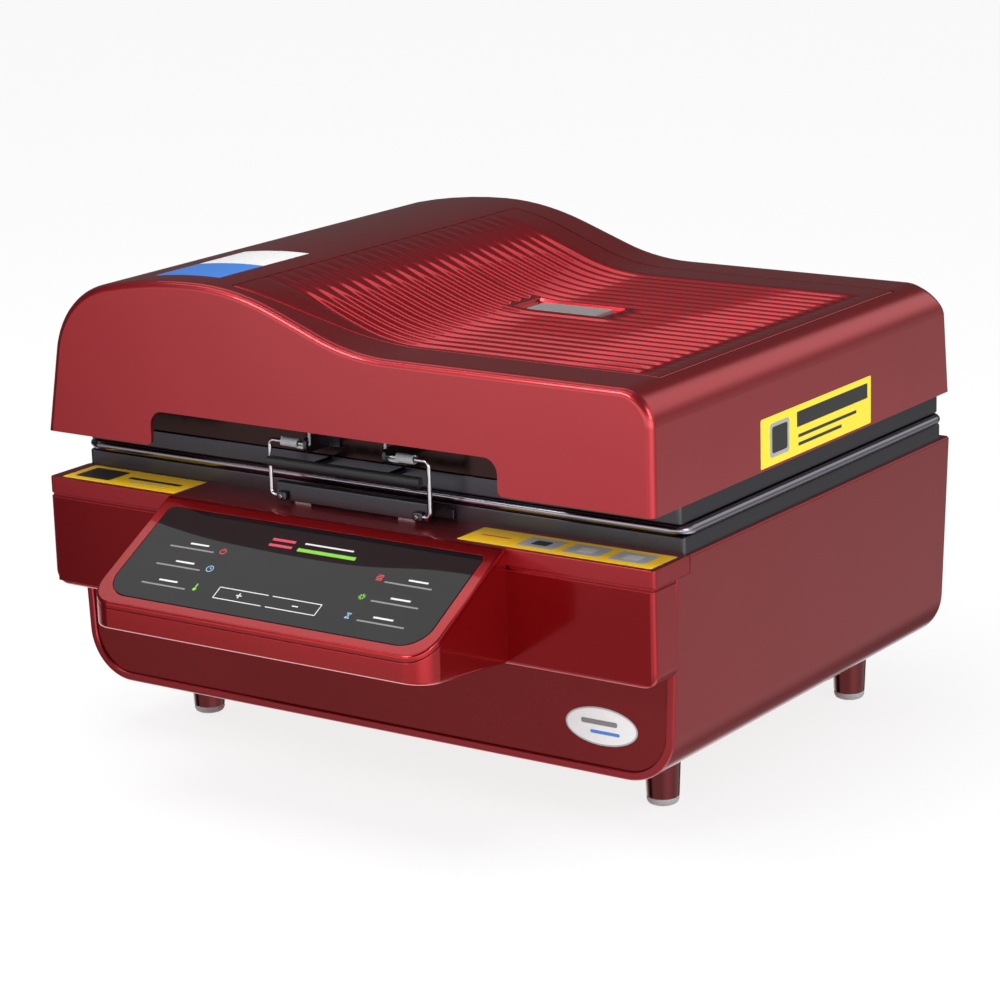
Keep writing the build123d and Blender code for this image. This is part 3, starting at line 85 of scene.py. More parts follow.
# ---------------------------------------------------------------- places
class Extent:
    """Corners of a CAD node at rest, in millimetres, with y counted from the base front."""

    def __init__(self, node):
        low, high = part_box(node)
        self.left, self.right = low.x / MM, high.x / MM
        self.front, self.rear = (low.y - FRONT) / MM, (high.y - FRONT) / MM
        self.bottom, self.top = low.z / MM, high.z / MM


BASE = Extent("base_wrap")
CAP = Extent("deck_cap")
LEDGE = Extent("ledge_cover")
CONSOLE = Extent("console_housing")
HOOD = Extent("hood_shell")


def at(x, y, z):
    """Place in the shared frame, in metres."""
    return Vector((x * MM, FRONT + y * MM, z * MM))


def back(point):
    """The reverse of at(): millimetres, with y from the base front."""
    return Vector((point.x / MM, (point.y - FRONT) / MM, point.z / MM))


def smoothstep(value):
    """0 below 0, 1 above 1, and an even S between."""
    value = min(max(value, 0.0), 1.0)
    return value * value * (3 - 2 * value)


# ---------------------------------------------------------------- outlines
def trace(start, heading, moves, step):
    """Path of straight runs and tangent arcs, as (x, z, normal x, normal z) with the normal on the left.

    A move is (length, 0) for a run or (radius, turn) for an arc, with a turn to the left positive and a
    point for every step degrees of it.
    """
    x, z = start
    angle = radians(heading)
    path = [(x, z, -sin(angle), cos(angle))]
    for size, turn in moves:
        if turn == 0:
            x, z = x + size * cos(angle), z + size * sin(angle)
            path.append((x, z, -sin(angle), cos(angle)))
            continue
        count = max(2, ceil(abs(turn) / step))
        bend = radians(turn) / count
        for _ in range(count):
            chord = 2 * size * sin(abs(bend) / 2)
            x, z = x + chord * cos(angle + bend / 2), z + chord * sin(angle + bend / 2)
            angle += bend
            path.append((x, z, -sin(angle), cos(angle)))
    return path


def flipped(path):
    """A traced path mirrored in its first axis and walked the other way."""
    return [(-x, z, -nx, nz) for x, z, nx, nz in reversed(path)]


def points_of(path):
    """The bare points of a traced path."""
    return [(x, z) for x, z, _, _ in path]


def rounded_box(x0, x1, y0, y1, radii, step=15.0):
    """Points round a rectangle, clockwise; radii is one radius, or four from the left rear corner on."""
    left_rear, right_rear, right_front, left_front = radii if isinstance(radii, tuple) else (radii,) * 4
    moves = [
        (x1 - x0 - left_rear - right_rear, 0), (right_rear, -90),
        (y1 - y0 - right_rear - right_front, 0), (right_front, -90),
        (x1 - x0 - right_front - left_front, 0), (left_front, -90),
        (y1 - y0 - left_front - left_rear, 0), (left_rear, -90),
    ]
    moves = [(max(size, LEAST_RUN), turn) for size, turn in moves]
    return points_of(trace((x0 + left_rear, y1), 0, moves, step)[:-1])


# ---------------------------------------------------------------- modelling
def clear_selection():
    """Object mode, with nothing selected."""
    if bpy.context.object and bpy.context.object.mode != "OBJECT":
        bpy.ops.object.mode_set(mode="OBJECT")
    bpy.ops.object.select_all(action="DESELECT")


def use(obj):
    """Makes obj the only selected object and the active one."""
    clear_selection()
    obj.select_set(True)
    bpy.context.view_layer.objects.active = obj


def started(name):
    """Names the primitive just added and puts its place into its mesh."""
    obj = bpy.context.object
    obj.name = obj.data.name = name
    bpy.ops.object.transform_apply(location=True, rotation=True, scale=True)
    return obj


@contextmanager
def editing(obj, kind="FACE", test=None):
    """Edit mode on obj with all selected, or only the faces or edges that pass test.

    The test gets a face's middle and normal, or an edge's two ends, with places in millimetres.
    """
    use(obj)
    mesh = obj.data
    bpy.ops.object.mode_set(mode="EDIT")
    bpy.ops.mesh.select_mode(type=kind)
    bpy.ops.mesh.select_all(action="DESELECT" if test else "SELECT")
    if test:
        bpy.ops.object.mode_set(mode="OBJECT")
        spots = [back(v.co) for v in mesh.vertices]
        if kind == "FACE":
            for face in mesh.polygons:
                face.select = bool(test(back(face.center), face.normal))
        else:
            for edge in mesh.edges:
                edge.select = bool(test(*[spots[i] for i in edge.vertices]))
        bpy.ops.object.mode_set(mode="EDIT")
    yield obj
    bpy.ops.object.mode_set(mode="OBJECT")


def modify(obj, kind, **settings):
    """Adds a modifier, sets it and applies it."""
    use(obj)
    bpy.ops.object.modifier_add(type=kind)
    modifier = obj.modifiers[-1]
    for key, value in settings.items():
        setattr(modifier, key, value)
    bpy.ops.object.modifier_apply(modifier=modifier.name)
    return obj


def outward(obj):
    """Closes doubled points and turns every face outwards."""
    with editing(obj):
        bpy.ops.mesh.remove_doubles(threshold=0.005 * MM)
        bpy.ops.mesh.normals_make_consistent(inside=False)
    return obj


def consistent(obj, wrong):
    """Turns the faces of an open skin one way, and all of them round where wrong(faces) says so."""
    with editing(obj):
        bpy.ops.mesh.normals_make_consistent(inside=False)
    if wrong(obj.data.polygons):
        with editing(obj):
            bpy.ops.mesh.flip_normals()


def face_up(obj):
    """Turns an open skin's faces upwards."""
    consistent(obj, lambda faces: faces[0].normal.z < 0)


def walled(obj, thickness, **settings):
    """Gives an open skin a wall on its inner side."""
    return modify(obj, "SOLIDIFY", thickness=thickness * MM, offset=-1, **settings)


def smooth(obj, angle=32):
    """Smooth shading that stays flat on the broad faces and sharp past the angle."""
    use(obj)
    bpy.ops.object.shade_smooth_by_angle(angle=radians(angle))
    return modify(obj, "WEIGHTED_NORMAL", keep_sharp=True, weight=80)


def soften(obj, radius, segments, angle):
    """Eases every edge sharper than the angle."""
    return modify(obj, "BEVEL", width=radius * MM, segments=segments, limit_method="ANGLE",
                  angle_limit=radians(angle), harden_normals=False, miter_outer="MITER_ARC")


def round_edges(obj, radius, test, segments):
    """Rounds the edges whose two ends pass test."""
    with editing(obj, "EDGE", test):
        bpy.ops.mesh.bevel(offset=radius * MM, segments=segments, profile=0.5, affect="EDGES",
                           clamp_overlap=True)
    return obj


def cut(obj, tool):
    """Takes tool out of obj and deletes tool."""
    modify(obj, "BOOLEAN", object=tool, operation="DIFFERENCE", solver="EXACT")
    bpy.data.objects.remove(tool)


def joined(name, obj, *others):
    """One object of several, which stay separate shells."""
    use(obj)
    for other in others:
        other.select_set(True)
    bpy.ops.object.join()
    obj.name = obj.data.name = name
    return obj


def copied(obj, name, offset=(0, 0, 0), mirror=False):
    """A copy with its own mesh, moved by millimetres or mirrored left to right."""
    use(obj)
    bpy.ops.object.duplicate(linked=False)
    twin = bpy.context.object
    twin.name = twin.data.name = name
    if mirror:
        twin.scale.x = -1
    twin.location = Vector(offset) * MM
    bpy.ops.object.transform_apply(location=True, rotation=True, scale=True)
    if mirror:
        with editing(twin):
            bpy.ops.mesh.normals_make_consistent(inside=False)
    return twin


def prism(name, outline, place, depth):
    """A closed outline drawn as a filled circle's points, then extruded.

    place(u, v) gives the model place of an outline point and depth is the extrusion in metres.
    """
    clear_selection()
    bpy.ops.mesh.primitive_circle_add(vertices=len(outline), radius=1.0, fill_type="NGON")
    obj = started(name)
    for vertex, (u, v) in zip(obj.data.vertices, outline):
        vertex.co = place(u, v)
    with editing(obj):
        bpy.ops.mesh.extrude_region_move(TRANSFORM_OT_translate={"value": tuple(depth)})
    return outward(obj)


def upright(name, outline, y0, y1):
    """Prism of an outline in x and z, from y0 back to y1."""
    return prism(name, outline, lambda x, z: at(x, y0, z), (0, (y1 - y0) * MM, 0))


def flat(name, outline, z0, z1):
    """Prism of an outline in x and y, from z0 up to z1."""
    return prism(name, outline, lambda x, y: at(x, y, z0), (0, 0, (z1 - z0) * MM))


def sideways(name, outline, x0, x1):
    """Prism of an outline in y and z, from x0 to x1."""
    return prism(name, outline, lambda y, z: at(x0, y, z), ((x1 - x0) * MM, 0, 0))


def block(name, x0, x1, y0, y1, z0, z1):
    """A box between two corners, to be shaped further."""
    clear_selection()
    middle = at((x0 + x1) / 2, (y0 + y1) / 2, (z0 + z1) / 2)
    size = Vector((x1 - x0, y1 - y0, z1 - z0)) * MM
    bpy.ops.mesh.primitive_cube_add(size=1, location=middle, scale=size)
    return started(name)


def skin(name, columns, rows, place, close_columns=False, close_rows=False):
    """A grid primitive whose point in column i and row j is moved to place(i, j)."""
    across, along = columns - 1 + close_columns, rows - 1 + close_rows
    clear_selection()
    bpy.ops.mesh.primitive_grid_add(x_subdivisions=across, y_subdivisions=along, size=1)
    obj = started(name)
    for vertex in obj.data.vertices:
        i, j = round((vertex.co.x + 0.5) * across), round((vertex.co.y + 0.5) * along)
        vertex.co = place(i % columns, j % rows)
    return obj


def turned(name, profile, centre, axis="Z", sides=40):
    """Piece turned about an upright or a front to back axis, from points (radius, distance along it)."""
    x, y, z = centre

    def place(i, j):
        radius, along = profile[j]
        a = 2 * pi * i / sides
        u, v = radius * cos(a), radius * sin(a)
        return at(x + u, y + v, z + along) if axis == "Z" else at(x + u, y + along, z + v)

    return outward(skin(name, sides, len(profile), place, close_columns=True))


def wire(name, start, heading, diameter, moves, sides=14):
    """Bent wire: a filled circle extruded along runs and spun round bends.

    A move is (length,) for a run, or (radius, turn in degrees, unit axis) for a bend about that axis.
    """
    clear_selection()
    heading = Vector(heading)
    point = at(*start)
    bpy.ops.mesh.primitive_circle_add(vertices=sides, radius=diameter / 2 * MM, fill_type="NGON",
                                      location=point, rotation=heading.to_track_quat("Z", "Y").to_euler())
    obj = started(name)
    with editing(obj):
        for move in moves:
            if len(move) == 1:
                step = heading * move[0] * MM
                bpy.ops.mesh.extrude_region_move(TRANSFORM_OT_translate={"value": tuple(step)})
                point = point + step
                continue
            radius, turn, axis = move
            axis = Vector(axis)
            centre = point + axis.cross(heading).normalized() * radius * MM
            spin = Matrix.Rotation(radians(turn), 3, axis)
            bpy.ops.mesh.spin(steps=ceil(turn / 15), angle=-radians(turn), center=centre, axis=axis)
            point = centre + spin @ (point - centre)
            heading = spin @ heading
    return outward(obj)


def put_finish(obj, finish_name):
    """Gives a mesh one finish in place of all others."""
    obj.data.materials.clear()
    obj.data.materials.append(finish_of(finish_name))


def dress(obj, body, finish_name, node=None):
    """Puts a finished piece on its body, in its finish, in place of a CAD node if it has one."""
    put_finish(obj, finish_name)
    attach(obj, body)
    if node:
        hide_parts(node)


def dress_pair(right, angle, body, finish_name, node):
    """Dresses the right one of a pair, and its mirrored copy on the left."""
    left = copied(right, right.name.replace("right", "left"), mirror=True)
    for obj in (right, left):
        dress(smooth(obj, angle), body, finish_name, node)


# ---------------------------------------------------------------- settings
def length(name, description, millimetres):
    """A distance the user can set."""
    return FloatProperty(name=name, description=description, default=millimetres * MM,
                         unit="LENGTH", subtype="DISTANCE", precision=4)


def colour(name, description, red, green, blue):
    """A colour the user can set, as linear values."""
    return FloatVectorProperty(name=name, description=description, default=(red, green, blue),
                               subtype="COLOR", min=0, max=1)


class HeatPressShape(bpy.types.PropertyGroup):
    """Sizes of the dressed pieces that a user would change."""

    hood_front_round: length("Hood Front Round", "Radius of the hood's front edge", 6.5)
    hood_rear_round: length("Hood Rear Round", "Radius of the hood's upper rear edge", 18.0)
    hood_wall: length("Hood Wall", "Thickness of the moulded hood", 3.0)
    rib_depth: length("Rib Depth", "Depth of the grooves between the ribs", 3.7)
    rib_count: IntProperty(name="Rib Count", description="Grooves in the ribbed panel", default=23, min=1)
    panel_gap: length("Panel Gap", "Seam round the ribbed panel", 1.2)
    lip_width: length("Lip Width", "Folded lip round the front of the base", 7.0)
    base_round: length("Base Round", "Radius of the base's lower side edges", 42.0)
    ledge_round: length("Ledge Round", "Radius of the ledge's front edges", 4.0)
    console_round: length("Console Round", "Radius of the console's upright front edges", 21.0)
    console_edge: length("Console Edge", "Radius round the console's sloping face", 4.2)
    console_seam: length("Console Seam", "Distance of the console's seam below its slope", 4.4)
    coil_turns: IntProperty(name="Coil Turns", description="Turns of each latch spring", default=10, min=1)
    membrane_sag: length("Membrane Sag", "How far the membrane hangs in its middle", 1.2)


class HeatPressFinish(bpy.types.PropertyGroup):
    """Colours of the finishes that a user would change."""

    hood_red: colour("Hood Red", "Lacquer of the hood", 0.47, 0.028, 0.037)
    panel_red: colour("Panel Red", "Lacquer of the ribbed panel", 0.52, 0.018, 0.028)
    base_red: colour("Base Red", "Paint of the base", 0.34, 0.021, 0.028)
    console_red: colour("Console Red", "Lacquer of the console", 0.44, 0.014, 0.019)
    # a darker, glossier red for the panes on the ledge's front: painted shade and reflection on a box that is
    # red like the cap
    ledge_red: colour("Ledge Red", "Lacquer of the box under the cap", 0.27, 0.008, 0.012)
    maroon: colour("Maroon", "Paint of the lower front panel", 0.21, 0.012, 0.014)
    frame_black: colour("Frame Black", "Paint of the frames", 0.085, 0.082, 0.094)
    glass_black: colour("Glass Black", "Touch panel", 0.006, 0.006, 0.007)
    label_yellow: colour("Label Yellow", "Ground of the bare plates", 1.0, 0.58, 0.004)
    membrane_tint: colour("Membrane Tint", "Silicone sheet", 0.72, 0.70, 0.66)


class HeatPressStage(bpy.types.PropertyGroup):
    """Camera and lamps."""

    focal_length: FloatProperty(name="Focal Length", description="Camera lens", default=118.18,
                                unit="CAMERA")
    azimuth: FloatProperty(name="Azimuth", description="Camera turned round the machine, in degrees",
                           default=34.909)
    elevation: FloatProperty(name="Elevation", description="Camera above the horizon, in degrees",
                             default=14.775)
    roll: FloatProperty(name="Roll", description="Camera tipped sideways, in degrees", default=-1.642)
    position: FloatVectorProperty(name="Position", description="Camera place",
                                  default=(1.49477, -2.10120, 0.87476), subtype="TRANSLATION",
                                  unit="LENGTH")
    world_light: FloatProperty(name="World Light", description="Even light from all round", default=0.85,
                               min=0)
    lamp_power: FloatProperty(name="Lamp Power", description="Scale of all soft lamps", default=1.0, min=0)


def shape():
    """The shape settings in use."""
    return bpy.context.scene.heat_press_shape


# ---------------------------------------------------------------- materials
class Value:
    """A socket in an expression, where each operator adds a Math node."""

    def __init__(self, tree, socket):
        self.tree, self.socket = tree, socket

    def math(self, operation, first, second):
        node = self.tree.nodes.new("ShaderNodeMath")
        node.operation = operation
        for slot, value in zip(node.inputs, (first, second)):
            if isinstance(value, Value):
                self.tree.links.new(value.socket, slot)
            else:
                slot.default_value = value
        return Value(self.tree, node.outputs[0])

    def __add__(self, other):
        return self.math("ADD", self, other)

    def __radd__(self, other):
        return self.math("ADD", other, self)

    def __sub__(self, other):
        return self.math("SUBTRACT", self, other)

    def __rsub__(self, other):
        return self.math("SUBTRACT", other, self)

    def __mul__(self, other):
        return self.math("MULTIPLY", self, other)


class Paint:
    """One material: a Principled shader and short ways to feed it."""

    def __init__(self, name, colour, **uniform):
        self.material = bpy.data.materials.new(name)
        self.material.use_nodes = True
        self.tree = self.material.node_tree
        self.shader = self.tree.nodes["Principled BSDF"]
        self.colour = colour
        self.set(Base_Color=(*colour, 1), **uniform)
        self.place = self.node("ShaderNodeTexCoord")["Object"]

    def node(self, kind, settings=None, **inputs):
        """Adds a node: its settings first, then its sockets' values or links. Returns its outputs."""
        node = self.tree.nodes.new(kind)
        for key, value in (settings or {}).items():
            setattr(node, key, value)
        for key, value in inputs.items():
            slot = node.inputs[int(key[1:]) if key[1:].isdigit() else key.replace("_", " ")]
            self.feed(slot, value)
        return {out.name: Value(self.tree, out) for out in node.outputs if out.enabled}

    def feed(self, slot, value):
        """Links a value to a socket, or sets it."""
        if isinstance(value, Value):
            self.tree.links.new(value.socket, slot)
        else:
            slot.default_value = value

    def set(self, **inputs):
        """Feeds the shader's own sockets."""
        for key, value in inputs.items():
            self.feed(self.shader.inputs[key.replace("_", " ")], value)
        return self

    def noise(self, scale, detail=2.0, stretch=None):
        """A noise value between about 0.3 and 0.7, stretched by a vector if given."""
        place = self.place
        if stretch:
            place = self.node("ShaderNodeMapping", Vector=place, Scale=stretch)["Vector"]
        made = self.node("ShaderNodeTexNoise", Vector=place, Scale=scale, Detail=detail)
        return made.get("Fac") or made["Factor"]

    def between(self, factor, dark, light):
        """Feeds the base colour: the paint's own colour from a darker to a lighter shade."""
        node = self.tree.nodes.new("ShaderNodeMix")
        node.data_type = "RGBA"
        self.feed(node.inputs[0], factor)
        self.feed(node.inputs[6], (*shade(self.colour, dark), 1))
        self.feed(node.inputs[7], (*shade(self.colour, light), 1))
        return self.set(Base_Color=Value(self.tree, node.outputs[2]))

    def gloss(self, roughness, noise, swing):
        """Feeds the roughness, which swings with a noise."""
        return self.set(Roughness=roughness + (noise - 0.5) * swing)

    def bump(self, height, distance, strength):
        """Small relief from a height, in millimetres."""
        normal = self.node("ShaderNodeBump", Height=height, Distance=distance * MM, Strength=strength)
        return self.set(Normal=normal["Normal"])


def shade(colour, factor):
    """A colour made lighter or darker."""
    return tuple(min(channel * factor, 1.0) for channel in colour)


def lacquer(name, colour, roughness=0.3, metallic=0.88, coat=0.6):
    """Metallic lacquer: fine bright flake under a clear coat, with a faint unevenness."""
    paint = Paint(name, colour, Metallic=metallic, Coat_Weight=coat, Coat_Roughness=0.04, Coat_IOR=1.5)
    flake, cloud = paint.noise(2600, 1.0), paint.noise(9, 3.0)
    mix = paint.node("ShaderNodeMapRange", Value=flake + (cloud - 0.5) * 0.35, From_Min=0.32, From_Max=0.68)
    paint.between(mix["Result"], 0.94, 1.06)
    paint.set(Roughness=roughness + (flake - 0.5) * 0.04 + (cloud - 0.5) * 0.06)
    return paint.bump(paint.noise(240), 0.006, 0.2)


def satin(name, colour, roughness=0.38):
    """Satin paint on steel, with a fine grain and worn gloss in places."""
    paint = Paint(name, colour, Specular_IOR_Level=0.5)
    cloud = paint.noise(14, 4.0)
    return paint.between(cloud, 0.8, 1.35).gloss(roughness, cloud, 0.18).bump(paint.noise(900), 0.03, 0.4)


def moulded(name, colour, roughness=0.5):
    """Moulded plastic with a fine spark texture."""
    paint = Paint(name, colour)
    grain = paint.noise(1500)
    return paint.between(paint.noise(30), 0.9, 1.12).gloss(roughness, grain, 0.2).bump(grain, 0.05, 0.5)


def metal(name, colour, roughness, scale, stretch=None, metallic=1.0):
    """Bare metal, brushed along one way if stretched."""
    paint = Paint(name, colour, Metallic=metallic)
    lines = paint.noise(scale, 3.0, stretch)
    return paint.between(lines, 0.82, 1.12).gloss(roughness, lines, 0.3).bump(lines, 0.01, 0.3)


def printed(name, colour):
    """Printed film: even colour with a faint paper tone and a soft gloss."""
    paint = Paint(name, colour, Coat_Weight=0.3, Coat_Roughness=0.15)
    paper = paint.noise(320, 3.0)
    return paint.between(paper, 0.93, 1.05).gloss(0.32, paper, 0.1)


def rubber(name, colour, roughness, clear=0.0):
    """Silicone or rubber, with a soft bloom on its surface."""
    paint = Paint(name, colour, Transmission_Weight=clear, IOR=1.42)
    bloom = paint.noise(40, 4.0)
    return paint.between(bloom, 0.9, 1.08).gloss(roughness, bloom, 0.2).bump(paint.noise(700), 0.02, 0.3)


def black_mirror(name, colour):
    """Glossy black touch panel, with faint smears in its gloss."""
    paint = Paint(name, colour, Specular_IOR_Level=0.0, Coat_Weight=1.0, Coat_Roughness=0.02, Coat_IOR=1.34)
    smear = paint.noise(22, 4.0, (1.0, 3.0, 1.0))
    paint.between(smear, 0.8, 1.4).set(Roughness=0.06 + smear * 0.06)
    return paint.bump(paint.noise(26, stretch=(1.0, 0.4, 1.0)), 0.5, 0.35)


def felted(name, colour):
    """Needled fibre blanket."""
    paint = Paint(name, colour, Sheen_Weight=0.3)
    felt = paint.noise(420, 5.0, (1.0, 0.6, 1.0))
    return paint.between(felt, 0.7, 1.15).gloss(0.85, felt, 0.2).bump(felt, 0.6, 0.8)


def frosted(name, colour):
    """Frosted quartz tube."""
    paint = Paint(name, colour, Transmission_Weight=0.35, IOR=1.46)
    bloom = paint.noise(120, 3.0)
    return paint.between(bloom, 0.92, 1.05).gloss(0.35, bloom, 0.15)


FINISHES = {
    # finish: maker, material name, colour or (colour setting, lightness), what differs from the maker's own
    "hood red": (lacquer, "hood_lacquer", ("hood_red", 1), {"coat": 0.7}),
    "panel red": (lacquer, "panel_lacquer", ("panel_red", 1), {"roughness": 0.2}),
    "base red": (lacquer, "base_paint", ("base_red", 1), {"roughness": 0.36, "coat": 0.4}),
    "console red": (lacquer, "console_lacquer", ("console_red", 1), {"roughness": 0.24}),
    "cap red": (lacquer, "cap_lacquer", ("hood_red", 0.8), {"coat": 0.3}),
    # the ledge front's panes: a darker red than the ledge's body, as painted shade and reflection
    "ledge red": (lacquer, "ledge_lacquer", ("ledge_red", 1), {"roughness": 0.13, "coat": 0.1}),
    "maroon": (lacquer, "maroon_paint", ("maroon", 1), {"roughness": 0.26, "metallic": 0.75, "coat": 0.1}),
    "foot red": (lacquer, "foot_paint", ("base_red", 0.42), {"roughness": 0.26}),
    "black frame": (metal, "frame_coat", ("frame_black", 1), {"roughness": 0.34, "scale": 700}),
    # the membrane frame takes the frames' black paint made 3.6 times lighter and glossier, a painted
    # highlight along its rolled rim
    "rim black painted highlight": (metal, "rim_coat", ("frame_black", 3.6), {"roughness": 0.2, "scale": 700}),
    "black glass": (black_mirror, "touch_glass", ("glass_black", 1), {}),
    "black plastic": (moulded, "black_moulding", (0.014, 0.014, 0.015), {}),
    "grey motor": (satin, "motor_paint", (0.10, 0.105, 0.11), {}),
    "steel": (metal, "plain_sheet", (0.50, 0.50, 0.51),
              {"roughness": 0.34, "stretch": (1.0, 12.0, 1.0), "scale": 60}),
    "warm steel": (metal, "heated_sheet", (0.05, 0.028, 0.026),
                   {"roughness": 0.22, "stretch": (3.0, 1.0, 1.0), "scale": 30}),
    "chrome": (metal, "bright_plate", (0.62, 0.62, 0.64), {"roughness": 0.2, "scale": 300}),
    "spring steel": (satin, "spring_plate", (0.42, 0.42, 0.44), {"roughness": 0.35}),
    "screw steel": (metal, "screw_plate", (0.30, 0.30, 0.31), {"roughness": 0.3, "scale": 300}),
    "alloy": (metal, "satin_alloy", (0.62, 0.62, 0.63),
              {"roughness": 0.36, "stretch": (1.0, 9.0, 1.0), "scale": 80}),
    "brushed badge": (metal, "brushed_badge", (0.42, 0.40, 0.40),
                      {"roughness": 0.45, "stretch": (1.0, 40.0, 1.0), "scale": 45, "metallic": 0.6}),
    "foot grey": (rubber, "foot_rubber", (0.50, 0.50, 0.51), {"roughness": 0.45}),
    "seal": (rubber, "seal_silicone", (0.40, 0.07, 0.04), {"roughness": 0.5}),
    "membrane": (rubber, "membrane_silicone", ("membrane_tint", 1), {"roughness": 0.35, "clear": 0.25}),
    "board": (moulded, "circuit_board", (0.02, 0.12, 0.05), {"roughness": 0.4}),
    "blanket": (felted, "fibre_blanket", (0.72, 0.69, 0.62), {}),
    "quartz": (frosted, "quartz_tube", (0.80, 0.76, 0.72), {}),
    "yellow": (printed, "yellow_film", ("label_yellow", 1), {}),
    "lemon": (printed, "lemon_film", (1.0, 0.80, 0.03), {}),
    "white": (printed, "white_film", (0.80, 0.80, 0.80), {}),
    "blue": (printed, "blue_film", (0.05, 0.20, 0.62), {}),
}
INKS = {
    "black": (0.012, 0.012, 0.012), "grey": (0.40, 0.41, 0.42), "red": (0.62, 0.05, 0.05),
    "light": (0.62, 0.62, 0.62), "dim": (0.20, 0.19, 0.19), "rose": (0.55, 0.05, 0.09),
    "green": (0.18, 0.50, 0.04), "sky": (0.25, 0.45, 0.66),
}
FINISHES.update({f"{ink} ink": (printed, f"{ink}_ink", colour, {}) for ink, colour in INKS.items()})
MADE = {}


def finish_of(name):
    """The material of one of the press's finishes, made once."""
    if name not in MADE:
        maker, material, colour, settings = FINISHES[name]
        if isinstance(colour[0], str):
            setting, lightness = colour
            colour = shade(getattr(bpy.context.scene.heat_press_finish, setting), lightness)
        MADE[name] = maker(material, colour, **settings).material
    return MADE[name]


def finish_nodes():
    """Gives every CAD node that stays in view the finish of its slot."""
    by_slot = {
        "red_wrap": "base red", "red_hood": "hood red", "red_panel": "panel red", "dark_front": "maroon",
        "console_red": "console red", "black_glass": "black glass", "black_frame": "black frame",
        "steel_sheet": "steel", "chrome_wire": "chrome", "foot_red": "foot red", "foot_grey": "foot grey",
        "seal_red": "seal", "membrane": "membrane", "bed_alloy": "alloy", "board": "board",
        "black_plastic": "black plastic", "blanket": "blanket", "quartz": "quartz",
        "badge_metal": "brushed badge", "motor_grey": "grey motor",
    }
    own = {"heater_box": "warm steel", "reflector": "alloy", "latch_lugs": "black frame",
           "handle_posts": "black frame"}
    slots = {part["node"]: part["material_slot"] for part in frame["record"]["subparts"]}
    for name, obj in frame["nodes"].items():
        put_finish(obj, own.get(name) or by_slot[slots[name]])


# ---------------------------------------------------------------- hood
CREST_X, CREST_Z, FLAT_Z = -130.0, HOOD.top, 354.0
CREST_ROUND, VALLEY_ROUND, SHOULDER_LONG, SHOULDER_SHORT, RIGHT_ROUND = 225.0, 180.0, 420.0, 71.3, 28.0
SLOPE_TURN, SHOULDER_TURN, LEFT_LEAN, REAR_LEAN = 20.7, 12.6, 10.6, 6.5
REAR_SIDE_ROUND = 5.0
NOTCH = {"left": -178.0, "right": 155.0, "top": 289.0, "round": 12.0, "mouth": 5.0, "flare": 20.0}

PANEL = {"left": -99.0, "right": 269.0, "rear": 370.0, "thickness": 2.0, "edge_drop": 0.5}
# the panel's front edge lies at "crest" on the left and at "flat" on the right, and sweeps between
SWEEP = {"crest": -17.0, "flat": 13.0, "from": -88.0, "over": 142.0, "power": 1.15}
RIBS = {"first": 24.0, "pitch": 14.0, "left": -112.0, "left_fade": 95.0, "right": 262.0, "right_fade": 24.0}
# the ribs are a little flatter over the middle of the panel
FLATTER = {"share": 0.18, "left": 20.0, "right": 215.0, "fade": 60.0}
POCKET = {"left": 33.0, "right": 117.0, "front": 174.0, "rear": 210.5, "depth": 2.6, "wall": 0.8}
POCKET_BORDER = {"sides": 5.0, "ends": 3.0, "fade": 4.0}
SEAT = {"drop": 3.15, "inside": 3.0, "outside": 6.0, "thickness": 0.8}


def hood_path(step=3.0):
    """Front outline of the hood from its left foot over the crest to its right foot."""
    slope = radians(SLOPE_TURN)
    drop = CREST_Z - FLAT_Z
    straight = (drop - (CREST_ROUND + VALLEY_ROUND) * (1 - cos(slope))) / sin(slope)
    flat_from = CREST_X + (CREST_ROUND + VALLEY_ROUND) * sin(slope) + straight * cos(slope)
    right = trace((CREST_X, CREST_Z), 0, [
        (CREST_ROUND, -SLOPE_TURN), (straight, 0), (VALLEY_ROUND, SLOPE_TURN),
        (HOOD.right - RIGHT_ROUND - flat_from, 0), (RIGHT_ROUND, -90),
        (FLAT_Z - RIGHT_ROUND - HOOD.bottom, 0),
    ], step)
    shoulder = [(SHOULDER_LONG, -SHOULDER_TURN), (SHOULDER_SHORT, SHOULDER_TURN + LEFT_LEAN - 90)]
    left = trace((-CREST_X, CREST_Z), 0, shoulder, step)
    fall = (left[-1][1] - HOOD.bottom) / cos(radians(LEFT_LEAN))
    left = trace((-CREST_X, CREST_Z), 0, shoulder + [(fall, 0)], step)
    return flipped(left)[:-1] + right


def hood_height(x, path):
    """Height and normal of the hood's top at x."""
    for (x0, z0, nx0, nz0), (x1, z1, nx1, nz1) in zip(path, path[1:]):
        if x0 <= x <= x1 and x1 > x0:
            share = (x - x0) / (x1 - x0)
            return z0 + (z1 - z0) * share, nx0 + (nx1 - nx0) * share, nz0 + (nz1 - nz0) * share
    return path[-1][1], 0.0, 1.0


def rear_face(z):
    """How far back the hood's leaning rear face stands at a height."""
    return HOOD.rear - (z - HOOD.bottom) * tan(radians(REAR_LEAN))


def swept_front(x):
    """Front edge of the ribbed panel at x: straight on the right, swept forward over the crest."""
    share = 1 - smoothstep((x - SWEEP["from"]) / SWEEP["over"])
    return SWEEP["flat"] + (SWEEP["crest"] - SWEEP["flat"]) * share ** SWEEP["power"]


def ribbed_outline(grow):
    """Plan outline of the ribbed panel, grown all round."""
    left, right, rear = PANEL["left"] - grow, PANEL["right"] + grow, PANEL["rear"] + grow
    count = 30
    columns = [left + (right - left) * i / count for i in range(count + 1)]
    return [(x, swept_front(x) - grow) for x in columns] + [(right, rear), (left, rear)]


